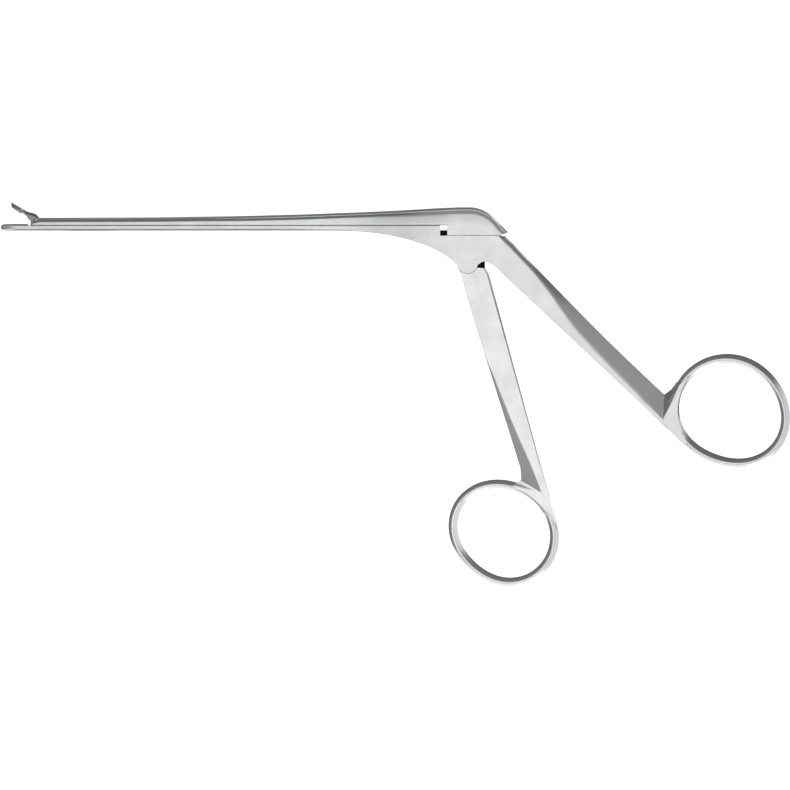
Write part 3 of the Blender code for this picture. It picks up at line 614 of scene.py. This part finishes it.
def finishes():
    """Every steel finish and the near-black painted recess shade, by name, made once."""
    if "polishing_grain" not in bpy.data.node_groups:
        grain_group()
        handling_group()
        tone = bpy.context.scene.forceps_finish
        light, dark = tuple(tone.steel), tuple(tone.smudge)
        rough = tone.roughness
        steel("satin_forging", light, dark, (rough, rough + 0.08), 0.0006, 0.003)
        steel("handle_satin", tuple(tone.handle), light, (rough, rough + 0.08), 0.0006, 0.003)
        steel("jaw_satin", (0.5, 0.5, 0.505), (0.26, 0.26, 0.265), (0.26, 0.4), 0.004, 0.01, 9.0, 0.8)
        steel("pin_polish", light, dark, (rough, rough + 0.06), 0.0004, 0.004)
        # Near-black material: painted shade on the walls that the slot tools cut, and on the lever and
        # tongue seen in the notch and the window.
        steel("painted_recess_shade", (0.02, 0.02, 0.02), (0.01, 0.01, 0.01), (0.5, 0.7), 0.004, 0.01)
    return {name: bpy.data.materials[name]
            for name in ("satin_forging", "handle_satin", "jaw_satin", "pin_polish",
                         "painted_recess_shade")}


# Properties

class ForcepsEdges(bpy.types.PropertyGroup):
    """Sizes of the polished edges."""

    seam: FloatProperty(
        name="Seam edge", description="Rounding of the edges along the seams", unit="LENGTH",
        default=0.00012)
    flank: FloatProperty(
        name="Flank edge", description="Softness of the long facets' upper edges", unit="LENGTH",
        default=0.0012)


class ForcepsFinish(bpy.types.PropertyGroup):
    """Colours and gloss of the steel."""

    steel: FloatVectorProperty(
        name="Steel", description="Colour of the polished steel", subtype="COLOR", size=3,
        default=(0.79, 0.79, 0.795), min=0.0, max=1.0)
    handle: FloatVectorProperty(
        name="Front handle", description="Colour of the front handle's brighter polish",
        subtype="COLOR", size=3, default=(0.88, 0.88, 0.885), min=0.0, max=1.0)
    smudge: FloatVectorProperty(
        name="Smudged steel", description="Colour of the steel where it is handled",
        subtype="COLOR", size=3, default=(0.74, 0.74, 0.75), min=0.0, max=1.0)
    roughness: FloatProperty(
        name="Roughness", description="Roughness of clean satin steel", subtype="FACTOR",
        default=0.2, min=0.0, max=1.0)


class ForcepsStudio(bpy.types.PropertyGroup):
    """Light and camera."""

    overhead: FloatProperty(
        name="Overhead light", description="Brightness of the overhead softbox", default=0.72,
        min=0.0)
    fill: FloatProperty(
        name="Fill light", description="Brightness of the wide fill around the overhead softbox",
        default=0.17, min=0.0)
    front: FloatProperty(
        name="Front light", description="Brightness of the softbox on the handles' side",
        default=0.92, min=0.0)
    right: FloatProperty(
        name="Right light", description="Brightness of the softbox behind the rear ring",
        default=0.65, min=0.0)
    ambient: FloatVectorProperty(
        name="Room", description="Colour of the room around", subtype="COLOR", size=3,
        default=(0.14, 0.14, 0.14), min=0.0, max=1.0)
    distance: FloatProperty(
        name="Camera distance", description="Height of the camera above the part", unit="LENGTH",
        default=1.5, min=0.3)
    span: FloatProperty(
        name="Span", description="Width that the camera takes in", unit="LENGTH", default=0.1975)


# Pieces

def frame_rows(ring):
    """Rows of the frame's forging from the lower jaw's tip to where its bar joins the ring."""
    edges = bpy.context.scene.forceps_edges
    seam = edges.seam / MM
    soft = edges.flank / MM
    fine = seam / 6
    rows = []
    length = RIM_END - JAW_TIP
    for share in (0.0, 0.02, 0.05, 0.09, 0.14, 0.2, 0.28, 0.4, 0.6, 0.8, 1.0):
        x = JAW_TIP + length * share
        nose = math.sqrt(max(1 - (1 - min(share / 0.2, 1)) ** 2, 0.0))
        half = SHAFT_HALF * (0.5 + 0.5 * math.sqrt(max(1 - (1 - min(share / 0.6, 1)) ** 2, 0.0)))
        low = SHAFT_BOTTOM + 0.4 * (1 - nose)
        high = RIM_TOP - 0.45 * (1 - nose)
        tip = 1 - smooth(share / 0.8)
        rows.append(row((x, low), (x, high), half, (0.5 - 0.25 * tip, 0.42 - 0.22 * tip),
                        (0.45 - 0.22 * tip, 0.3 - 0.12 * tip),
                        (0.03, 0.15 + 0.2 * tip, 0.06 + 0.3 * tip, 0.03)))
    places = [RIM_END + STEP_RUN] + list(np.linspace(RIM_END + 2, FLARE[0], 14))
    places += list(np.linspace(FLARE[0], -1.1 * LOBE_RADIUS, 42)[1:])
    seat = BODY_SEAT - BODY_GAP / 2
    top, joint = FRAME_TOP, (seam, seam)
    for x in places:
        edge = 0.5 - 0.42 * smooth((x + 50) / 30)
        low_edge = (edge, edge * 0.85)
        ease = (0.03, 0.3 * edge, seam, seam)
        if x > STEP_X and top == FRAME_TOP:
            low, half = underside(STEP_X), half_width(STEP_X)
            start = STEP_X - STEP_RUN
            rows.append(row((start, low), (start, top), half, low_edge, joint, ease))
            top, joint = seat, (fine, fine)
            rows.append(row((STEP_X, low), (STEP_X, top), half, low_edge, joint, ease))
        rows.append(row((x, underside(x)), (x, top), half_width(x), low_edge, joint, ease))
    inner = (0.08, 0.08)
    hard = (0.03, 0.03, seam, seam)
    facet_ease = (0.03, 0.03, soft, 0.04)
    creased = (0.03, 0.03, 0.1, 0.04)
    keys = [rows.pop(),
            row((0.0, -0.5), (1.107, seat), BODY_HALF, inner, (fine, fine), hard),
            row((LOBE_RADIUS, -0.45), (3.92, seat), BODY_HALF, inner, (fine, fine), hard),
            row((3.475, 0.2), (5.84, seat), BODY_HALF, inner, (fine, fine), hard),
            row((4.425, 0.57), (7.725, seat), BODY_HALF, inner, (0.1, 0.1), hard)]
    corner = row((5.2, 0.25), REAR_CORNER, BODY_HALF, inner, (1.02, 0.9), facet_ease)
    facets = [(0.054, 0.0, 1.02, 0.9, 0.02), (0.18, 0.0, 1.02, 0.86, -0.06),
              (0.324, 0.025, 1.9, 0.9, -0.12), (0.504, 0.19, 3.7, 0.95, -0.15),
              (0.683, 0.5, 4.2, 1.0, -0.05), (0.881, 0.85, 4.55, 1.02, 0.3),
              (0.965, 0.97, 4.75, 1.05, 0.45)]
    bar = Bar(REAR_CORNER, REAR_ANGLE, -90)
    bars = [corner] + bar_rows(bar, REAR_LENGTH, REAR_WIDTHS, facets, [inner] * len(facets),
                               facet_ease)
    valley = row(bar.at(REAR_LENGTH + 5.35, REAR_WIDTHS[1]), REAR_VALLEY,
                 RING_FLAT_HALF, inner, (7.0, 1.15), creased, REAR_CREASE[0])
    crest = row(ring.point(ring.at + 34.5, 3.6), REAR_CREASE[2], RING_FLAT_HALF, inner,
                (1.0, 0.1), creased, REAR_CREASE[0], ridge_at=REAR_CREASE[1])
    # The crease runs on level to its outer end, and drops from there to the shoulder
    crest[16:23] = [*REAR_CREASE[2], crest[14], crest[19], *REAR_SHOULDER, RING_FLAT_HALF - 0.9]
    steps = (0.0, 0.3, 0.6, 0.9)
    turn = (np.array(valley) + np.array(crest)) / 2
    turn[-4:-2] = REAR_TURN
    return (rows + fill_rows(keys, 0.9) + straight_rows(keys[-1], corner, (0.3, 0.6, 0.9))
            + fill_rows(bars, 0.9)[:-1] + straight_rows(bars[-1], valley, steps)
            + straight_rows(valley, turn, (0.0, 0.08, 0.5))
            + straight_rows(turn, crest, (0.0, 0.5, 0.92))
            + fill_rows([crest] + sunk_rows(ring, 1, REAR_SINK, inner), 0.9))


def sunk_rows(ring, turn, table, inner):
    """Rows that fan round the ring behind its crest and end inside its band."""
    rows = []
    for low_turn, low_beyond, high_turn, high_beyond, drop in table:
        rows.append(row(ring.point(ring.at + turn * low_turn, low_beyond),
                        ring.point(ring.at + turn * high_turn, high_beyond),
                        RING_FLAT_HALF - drop, inner, (0.3, 0.03), (0.03, 0.03, 0.1, 0.02)))
    return rows


def build_frame():
    metal = finishes()
    satin, recess = metal["satin_forging"], metal["painted_recess_shade"]
    bar = Bar(REAR_CORNER, REAR_ANGLE, -90)
    ring = Ring(12.23, (0.76, -28.7), (0.23, -42.6), 163.0, bar.at(REAR_LENGTH, -1.25), 4.3, 0.9)
    item = skin("frame_forging", [section(numbers) for numbers in frame_rows(ring)], satin)
    cut(item, plate("lobe", circle((0, 0), LOBE_RADIUS, 96), -BODY_HALF, BODY_HALF, satin), "UNION")
    cut(item, ellipsoid("lower_cup", (CUP_X, RIM_TOP), metal["jaw_satin"]))
    # The slot tools carry the near-black recess material, which paints shade onto the walls they cut.
    heel = box_outline((JAW_PIVOT.x - 2.45, JAW_PIVOT.x + 1.35), (JAW_PIVOT.y - 0.6, SEAM + 5))
    cut(item, plate("heel_slot", heel, -HEEL_SLOT_HALF, HEEL_SLOT_HALF, recess))
    run = (LUG_X - LUG_HALF - TRAVEL - 0.5, LUG_X + 2.4)
    entry = (run[1], run[1] + 5.0)
    for name, x_range, y_range, wide in (
            ("neck_slot", (run[0], entry[1]), (SEAM - 0.5, SEAM + 1), 0.55),
            ("head_slot", (run[0], entry[1]), (SHAFT_BOTTOM - 1, SEAM - 0.4), 1.0),
            ("entry_slot", entry, (SHAFT_BOTTOM - 1, SEAM + 1), 1.0)):
        cut(item, plate(name, box_outline(x_range, y_range), -wide, wide, recess))
    # The mortise and the lever slots also leave painted shade on their walls.
    mortise = box_outline((STEP_X - 7.6, STEP_X + 1), (BODY_SEAT - 0.025, BODY_SEAT + 1.45))
    cut(item, plate("mortise", mortise, -1.3, 1.3, recess))
    for name, x_range, high in (("lever_slot", (-2.45, 2.85), BODY_SEAT + 1),
                                ("lever_room", (2.8, 4.8), 1.5)):
        outline = box_outline(x_range, (-LOBE_RADIUS - 1, high))
        cut(item, plate(name, outline, -LEVER_SLOT_HALF, LEVER_SLOT_HALF, recess))
    cut(item, ring.reamer("rear_reamer", satin))
    cut(item, ring.band("rear_ring", satin), "UNION")
    dress(item, "frame", ("fixed_frame",))
    return item


def slide_row(x, low, high, half, low_edge, thin=1.0):
    """Row of the slide: crowned flank, inner facet, lip and outer facet, thinned near its ends."""
    low, high = Vector(low), Vector(high)
    flare = smooth((x - FLARE[0]) / (FLARE[1] - FLARE[0]))
    lift = smooth((x + 75) / 30)
    inner = (0.45 + 0.4 * flare) * thin
    outer = (0.55 + 0.05 * flare) * thin
    lip = 0.14 * lift * thin + 0.01
    inner_drop = inner * math.tan(math.radians(36 - 21 * flare))
    nose = smooth((x - LINK_PIVOT.x + 1) / 3)
    outer_drop = outer * math.tan(math.radians(34 + 7 * nose - 3 * lift))
    along = (high - low).normalized()
    end = high - along * (inner + lip + outer)
    start = low + along * low_edge[0]
    crown = (0.1 + 0.14 * flare) * thin
    depth = (end - start).length
    reach = min(2.4, depth / 2)
    bend = end.lerp(start, reach / depth)
    foot, mid = (half - crown * max(1 - run / CROWNED_RUN, 0.0) ** 2 for run in (depth, reach))
    numbers = []
    for point, z, ease in ((low, foot - low_edge[1], low_edge[1]), (start, foot, low_edge[1]),
                            (bend, mid, 1.0), (end, half - crown, 0.25),
                            (end + along * inner, half - crown - inner_drop, 0.02),
                            (end + along * (inner + lip), half - crown - inner_drop, 0.02),
                            (high, half - crown - inner_drop - outer_drop, 0.03)):
        numbers += [point.x, point.y, z, ease]
    return numbers


def slide_rows():
    """Rows of the slide from its nose to the tip behind its crown, jaws open."""
    seam = bpy.context.scene.forceps_edges.seam / MM
    front = LINK_PIVOT.x - NOSE_REACH
    under, seat = SEAM + SLIDE_GAP / 2, BODY_SEAT + BODY_GAP / 2
    places = [front, front + 0.8, front + 1.65, front + 2.4]
    places += list(np.linspace(front + 6, FLARE[0], 24)) + list(np.linspace(-30, CROWN[0], 32))
    rows = []
    low, low_edge = under, (seam, seam)
    for x in places:
        flare = smooth((x - FLARE[0]) / (FLARE[1] - FLARE[0]))
        top = slide_top(x) - 0.4 * max(1 - (x - front) / 1.65, 0.0)
        thin = min(1.0, 0.65 * (top - under))
        half = half_width(x) - SLIDE_INSET * flare
        if x > SLIDE_STEP and low == under:
            start = SLIDE_STEP - STEP_RUN
            rows.append(slide_row(x, (start, low), (start, top), half, low_edge))
            low, low_edge = seat, SEAT_EDGE
            rows.append(slide_row(x, (SLIDE_STEP, low), (SLIDE_STEP, top), half, low_edge))
        rows.append(slide_row(x, (x, low), (x, top), half, low_edge, thin))
    hub = Vector((CROWN[0], CROWN[1] - CROWN_RADIUS))
    end = hub + CROWN_RADIUS * direction(90 - BACK_SLOPE)
    tip = end + direction(-BACK_SLOPE) * BACK_LENGTH
    reach = tip.x - hub.x
    half = BODY_HALF - SLIDE_INSET
    keys = [rows.pop()]
    for k in range(1, 9):
        high = hub + CROWN_RADIUS * direction(90 - BACK_SLOPE * k / 8)
        foot = (hub.x + reach * 0.62 * k / 8, seat)
        keys.append(slide_row(CROWN[0], foot, high, half, SEAT_EDGE))
    foot = (hub.x + reach * 0.78, seat)
    keys.append(slide_row(CROWN[0], foot, end.lerp(tip, 0.6), half, SEAT_EDGE))
    foot = (tip.x - 1.5, tip.y - 0.6)
    keys.append(slide_row(CROWN[0], foot, tip, half - 0.02, (0.05, 0.05), 0.88))
    return rows + fill_rows(keys, 0.5)


def build_slide():
    metal = finishes()
    satin, recess = metal["satin_forging"], metal["painted_recess_shade"]
    item = skin("slide_forging", [section(numbers) for numbers in slide_rows()], satin)
    front = LINK_PIVOT.x - NOSE_REACH
    # The slots take the near-black recess material, which paints shade onto the walls they cut.
    heel = box_outline((front - 1, LINK_PIVOT.x + 1.8), (SEAM - 1, SHAFT_TOP + 1))
    cut(item, plate("heel_slot", heel, -HEEL_SLOT_HALF, HEEL_SLOT_HALF, recess))
    slot = box_outline((-2.2, 2.9), (0, DRIVE_PIVOT.y + 1.5))
    cut(item, plate("lever_slot", slot, -LEVER_SLOT_HALF, LEVER_SLOT_HALF, recess))
    for name, wide, low, high in (("lug_neck", 0.45, SEAM - 1.0, SEAM + 0.4),
                                  ("lug_head", 0.9, SEAM - 1.0, SEAM - 0.5)):
        outline = box_outline((LUG_X - LUG_HALF, LUG_X + LUG_HALF), (low, high))
        cut(item, plate(name, outline, -wide, wide, satin), "UNION")
    dress(item, "slide", ("sliding_shaft",))
    # The guide tongue is near-black: painted shade where it shows through the window below the slide's
    # step.
    tongue = box_outline((SLIDE_STEP - 7.2, SLIDE_STEP + 0.5),
                         (BODY_SEAT + 0.03, BODY_SEAT + 1.37))
    dress(plate("guide_tongue", tongue, -1.2, 1.2, recess), "slide", ())
    return item


def front_rows(ring):
    """Rows of the front handle from its shoulders to where its bar joins the ring."""
    bar = Bar(FRONT_CORNER, FRONT_ANGLE, 90)
    inner = (0.55, 0.5)
    ease = (0.03, 0.06, 0.3, 0.03)
    thin = (0.06, 0.06)
    keys = [row((LOBE_RADIUS + 1.9, -1.3), (-LOBE_RADIUS, -0.9), BODY_HALF, inner, thin, ease),
            row(bar.at(-1.9, FRONT_WIDTHS[0] + 0.05), bar.at(-3.9, 0.25), BODY_HALF, inner,
                thin, ease)]
    facets = [(0.041, 0.0, *thin, 0.0), (0.35, 0.0, 0.08, 0.06, 0.12), (0.496, 0.06, 0.56, 0.2, 0.15),
              (0.633, 0.25, 1.05, 0.28, 0.15), (0.806, 0.56, 1.85, 0.46, 0.15),
              (0.948, 0.85, 2.7, 0.67, 0.2)]
    inners = [(0.55 - 0.3 * share, 0.5 - 0.27 * share) for share, *_ in facets]
    keys += bar_rows(bar, FRONT_LENGTH, FRONT_WIDTHS, facets, inners, ease)
    inner = (0.2, 0.18)
    root = bar.at(FRONT_LENGTH + 5.75, FRONT_WIDTHS[1])
    creased = (0.03, 0.06, 0.03, 0.03)
    valley = row(root, FRONT_VALLEY, RING_FLAT_HALF, inner, (5.7, 0.85), creased, FRONT_CREASE[0])
    shelf = row(root + bar.along * 0.1, Vector(FRONT_VALLEY) + Vector(FRONT_SHELF), RING_FLAT_HALF,
                inner, (5.7, 0.25), creased, Vector(FRONT_CREASE[0]) + Vector((-0.05, -0.02)))
    low = ring.point(ring.at - 42.5, 2.85)
    foot = row(low + bar.along * -0.05, Vector(FRONT_CREASE[2]) + Vector(FRONT_STEP), RING_FLAT_HALF,
               inner, (1.0, 0.25), creased, Vector(FRONT_CREASE[0]) + Vector((-0.08, 0.03)),
               ridge_at=Vector(FRONT_CREASE[1]) + Vector(FRONT_STEP))
    crest = row(low, FRONT_CREASE[2], RING_FLAT_HALF, inner, (1.0, 0.04), (0.03, 0.03, 0.03, 0.03),
                FRONT_CREASE[0], ridge_at=FRONT_CREASE[1])
    return (fill_rows(keys, 0.9)[:-1] + straight_rows(keys[-1], valley, (0.0, 0.3, 0.6, 0.9, 1.0))
            + straight_rows(shelf, foot, (0.0, 0.3, 0.6, 1.0))
            + fill_rows([crest] + sunk_rows(ring, -1, FRONT_SINK, inner), 0.9))


def build_front_handle():
    metal = finishes()
    satin, recess = metal["handle_satin"], metal["painted_recess_shade"]
    bar = Bar(FRONT_CORNER, FRONT_ANGLE, 90)
    ring = Ring(11.22, (0.80, -36.8), (0.15, 36.4), 72.5, bar.at(FRONT_LENGTH, -0.79), 3.55,
                RING_SLOPE)
    item = skin("front_handle_forging", [section(numbers) for numbers in front_rows(ring)], satin)
    seat = circle((0, 0), LOBE_RADIUS + 0.1, 96)
    cut(item, plate("shoulder_seat", seat, -BODY_HALF - 1, BODY_HALF + 1, satin))
    cut(item, ring.reamer("front_reamer", satin))
    cut(item, ring.band("front_ring", satin), "UNION")
    dress(item, "handle", ("front_handle",))

    # The drive lever is near-black: painted shade where it shows in the notch behind the front handle's
    # shoulder.
    lean = math.degrees(math.atan2(DRIVE_PIVOT.y, DRIVE_PIVOT.x))
    up, side = direction(lean), direction(lean - 90)
    tip = DRIVE_PIVOT + up * 1.1
    fork = 1.7
    gap = 0.85
    floor = DRIVE_PIVOT - up * (gap + 0.3)
    outline = [(-0.9, -4.2)] + arc((0, 0), 2.2, 215, 165, 10)
    outline += [tuple(tip - side * fork - up * 4.0), tuple(tip - side * fork),
                tuple(tip - side * gap), tuple(floor - side * gap), tuple(floor + side * gap),
                tuple(tip + side * gap), tuple(tip + side * fork), tuple(tip + side * fork - up * 4.0)]
    outline += arc((0, 0), 2.2, 20, 8, 2)
    outline += [(3.3, 0.32), (4.2, 0.55), (4.36, 0.35), (4.36, -2.4), (3.7, -4.2)]
    dress(plate("drive_lever", outline, -0.9, 0.9, recess), "handle", ())
    return item


def build_upper_jaw():
    metal = finishes()
    steel_finish = metal["jaw_satin"]
    rim = JAW_PIVOT.y + 0.98
    rows = []
    for share in (0.0, 0.03, 0.08, 0.15, 0.25, 0.4, 0.6, 0.8, 0.95, 1.0, 1.04, 1.3):
        nose = math.sqrt(max(1 - (1 - min(share / 0.2, 1)) ** 2, 0.0))
        half = SHAFT_HALF * (0.65 + 0.35 * math.sqrt(max(1 - (1 - min(share / 0.6, 1)) ** 2, 0.0)))
        half *= 1 - 0.6 * smooth((share - 0.85) / 0.25)
        low = (JAW_PIVOT.x - 7.8 + 3.0 * share, rim + 0.3 * (1 - nose)
               + 0.38 * smooth((share - 0.97) / 0.07))
        high = (JAW_PIVOT.x - 8.4 + 3.6 * share, JAW_PIVOT.y + 2.02 + 0.24 * share)
        tall = high[1] - low[1]
        rows.append(row(low, high, half, (0.12, 0.1), (0.52 * tall, 0.46 * tall),
                        (0.03, 0.05, 0.3, 0.04)))
    item = skin("cup_jaw", [section(numbers) for numbers in rows], steel_finish)
    cut(item, ellipsoid("upper_cup", (CUP_X, rim), steel_finish))
    heel = [row(Vector(low) + JAW_PIVOT, Vector(high) + JAW_PIVOT, 0.46, (0.05, 0.04), (0.6, 0.4),
                (0.03, 0.03, 0.2, 0.03))
            for low, high in (((-3.9, 1.34), (-3.9, 2.29)), ((-3.3, 1.28), (-3.3, 2.45)),
                              ((-2.6, 0.98), (-2.7, 2.68)), ((-1.7, 0.78), (-2.0, 2.92)),
                              ((-1.35, 0.25), (-1.4, 2.98)), ((-1.1, -0.2), (-0.8, 2.82)),
                              ((-0.5, -0.45), (0.15, 2.42)), ((0.1, -0.45), (0.7, 1.9)))]
    cut(item, skin("heel", [section(numbers) for numbers in fill_rows(heel, 0.3)], steel_finish),
        "UNION")
    pivot = JAW_PIVOT.to_3d()
    turn = (Matrix.Translation(pivot) @ Matrix.Rotation(-math.radians(JAW_OPENING), 4, "Z")
            @ Matrix.Translation(-pivot))
    item.data.transform(turn)
    dress(item, "jaw", ("upper_jaw",))
    return item


def ellipsoid(name, centre, material):
    """Tool that hollows a jaw's cup."""
    sections = []
    for k in range(1, 32):
        angle = math.pi * k / 32
        x = centre[0] - CUP_SIZE[0] * math.cos(angle)
        wide = math.sin(angle)
        sections.append([Vector((x, centre[1] + CUP_SIZE[1] * wide * math.cos(turn),
                                 CUP_SIZE[2] * wide * math.sin(turn)))
                         for turn in (2 * math.pi * j / 32 for j in range(32))])
    return skin(name, sections, material)


def build_pin(name, node, body, half):
    """Pin with polished ends that stand a hair proud of the flanks."""
    centre = centre_of(node)
    low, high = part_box(node)
    radius = (high.x - low.x) / 2 / MM
    sections = []
    for inset, z in ((0.5, -0.012), (0.02, -0.01), (0.0, 0.01)):
        outline = circle(centre.xy, radius - inset * radius, 48)
        sections.append([Vector((x, y, -half + z)) for x, y in outline])
    sections += [[Vector((point.x, point.y, -point.z)) for point in outline]
                 for outline in reversed(sections)]
    item = skin(name, sections, finishes()["pin_polish"])
    dress(item, body, (node,))
    return item


# Operators

class FORCEPS_OT_frame(bpy.types.Operator):
    """Build the frame's forging: lower jaw, lower shaft, body, rear bar and ring"""

    bl_idname = "forceps.frame"
    bl_label = "Frame forging"

    def execute(self, context):
        build_frame()
        return {"FINISHED"}


class FORCEPS_OT_slide(bpy.types.Operator):
    """Build the sliding half of the shaft and its guide tongue"""

    bl_idname = "forceps.slide"
    bl_label = "Slide"

    def execute(self, context):
        build_slide()
        return {"FINISHED"}


class FORCEPS_OT_front_handle(bpy.types.Operator):
    """Build the front handle with its ring and the lever that drives the slide"""

    bl_idname = "forceps.front_handle"
    bl_label = "Front handle"

    def execute(self, context):
        build_front_handle()
        return {"FINISHED"}


class FORCEPS_OT_jaw(bpy.types.Operator):
    """Build the hinged cup jaw"""

    bl_idname = "forceps.jaw"
    bl_label = "Cup jaw"

    def execute(self, context):
        build_upper_jaw()
        return {"FINISHED"}


class FORCEPS_OT_pins(bpy.types.Operator):
    """Build the four pins"""

    bl_idname = "forceps.pins"
    bl_label = "Pins"

    def execute(self, context):
        build_pin("pivot_pin", "handle_pivot_pin", "frame", BODY_HALF)
        build_pin("jaw_pin", "jaw_pivot_pin", "frame", SHAFT_HALF)
        build_pin("drive_rivet", "drive_pin", "slide", BODY_HALF - SLIDE_INSET)
        build_pin("link_rivet", "jaw_link_pin", "slide", 1.05)
        return {"FINISHED"}


def add_light(name, size, place, aim, radiance, shape="RECTANGLE"):
    """Soft light of a given radiance, size and place, aimed at a point."""
    light = bpy.data.lights.new(name, "AREA")
    light.shape = shape
    light.size = size[0]
    area = size[0] * size[1]
    if shape == "RECTANGLE":
        light.size_y = size[1]
    else:
        area = math.pi * size[0] ** 2 / 4
    light.energy = radiance * area * math.pi
    item = bpy.data.objects.new(name, light)
    bpy.context.collection.objects.link(item)
    item.location = place
    item.rotation_euler = (Vector(aim) - Vector(place)).to_track_quat("-Z", "Y").to_euler()
    item.visible_camera = False
    return item


class FORCEPS_OT_stage(bpy.types.Operator):
    """Set the pale floor, the soft lights and the camera"""

    bl_idname = "forceps.stage"
    bl_label = "Studio"

    def execute(self, context):
        studio = context.scene.forceps_studio
        middle = PIVOT + Vector((-18.1, -32.925, 0.0)) * MM
        mesh_data = bmesh.new()
        bmesh.ops.create_grid(mesh_data, x_segments=1, y_segments=1, size=3.0)
        mesh = bpy.data.meshes.new("floor")
        mesh_data.to_mesh(mesh)
        mesh_data.free()
        floor = bpy.data.objects.new("floor", mesh)
        context.collection.objects.link(floor)
        floor.location = (middle.x, middle.y, CAD_BOX[0].z - 0.0001)
        paper = bpy.data.materials.new("white_paper")
        paper.use_nodes = True
        shader = paper.node_tree.nodes["Principled BSDF"]
        shader.inputs["Base Color"].default_value = (0.9, 0.9, 0.9, 1.0)
        shader.inputs["Roughness"].default_value = 0.9
        shader.inputs["Specular IOR Level"].default_value = 0.1
        shader.inputs["Emission Color"].default_value = (1.0, 1.0, 1.0, 1.0)
        shader.inputs["Emission Strength"].default_value = 0.75
        mesh.materials.append(paper)

        add_light("overhead_softbox", (1.7, 1.7), middle + Vector((0.25, 0.0, 3.0)), middle,
                  studio.overhead, "DISK")
        for name, azimuth, radiance in (("front_softbox", 262, studio.front),
                                        ("right_softbox", 338, studio.right)):
            tilt, turn = math.radians(53), math.radians(azimuth)
            place = middle + 3.0 * Vector((math.sin(tilt) * math.cos(turn),
                                           math.sin(tilt) * math.sin(turn), math.cos(tilt)))
            add_light(name, (5.2, 2.0), place, middle, radiance)
        add_light("overhead_fill", (5.6, 5.6), middle + Vector((0.0, 0.0, 3.2)), middle,
                  studio.fill, "DISK")

        world = context.scene.world or bpy.data.worlds.new("room")
        context.scene.world = world
        world.use_nodes = True
        background = world.node_tree.nodes["Background"]
        background.inputs["Color"].default_value = (*studio.ambient, 1.0)
        background.inputs["Strength"].default_value = 1.0

        lens = bpy.data.cameras.new("camera")
        lens.sensor_fit = "HORIZONTAL"
        lens.sensor_width = 36.0
        lens.lens = lens.sensor_width * studio.distance / studio.span
        lens.clip_start = 0.01
        lens.clip_end = 20.0
        camera = bpy.data.objects.new("camera", lens)
        context.collection.objects.link(camera)
        camera.location = middle + Vector((0.0, 0.0, studio.distance))
        context.scene.camera = camera
        context.scene.view_settings.view_transform = "Standard"
        return {"FINISHED"}


class FORCEPS_PT_panel(bpy.types.Panel):
    """Lists the pieces and their settings"""

    bl_label = "Biopsy Forceps"
    bl_idname = "FORCEPS_PT_panel"
    bl_space_type = "VIEW_3D"
    bl_region_type = "UI"
    bl_category = "Forceps"

    def draw(self, context):
        scene = context.scene
        for settings in (scene.forceps_edges, scene.forceps_finish, scene.forceps_studio):
            box = self.layout.box()
            for name in settings.__annotations__:
                box.prop(settings, name)
        for operator in OPERATORS:
            self.layout.operator(operator.bl_idname)


GROUPS = {"forceps_edges": ForcepsEdges, "forceps_finish": ForcepsFinish,
          "forceps_studio": ForcepsStudio}
OPERATORS = (FORCEPS_OT_frame, FORCEPS_OT_slide, FORCEPS_OT_front_handle, FORCEPS_OT_jaw,
             FORCEPS_OT_pins, FORCEPS_OT_stage)


def register():
    for item in (*GROUPS.values(), *OPERATORS, FORCEPS_PT_panel):
        bpy.utils.register_class(item)
    for name, group in GROUPS.items():
        setattr(bpy.types.Scene, name, PointerProperty(type=group))


def unregister():
    for name in GROUPS:
        delattr(bpy.types.Scene, name)
    for item in reversed((*GROUPS.values(), *OPERATORS, FORCEPS_PT_panel)):
        bpy.utils.unregister_class(item)


def main():
    register()
    bpy.ops.forceps.frame()
    bpy.ops.forceps.slide()
    bpy.ops.forceps.front_handle()
    bpy.ops.forceps.jaw()
    bpy.ops.forceps.pins()
    bpy.ops.forceps.stage()
    bpy.context.view_layer.update()


if __name__ == "__main__":
    main()
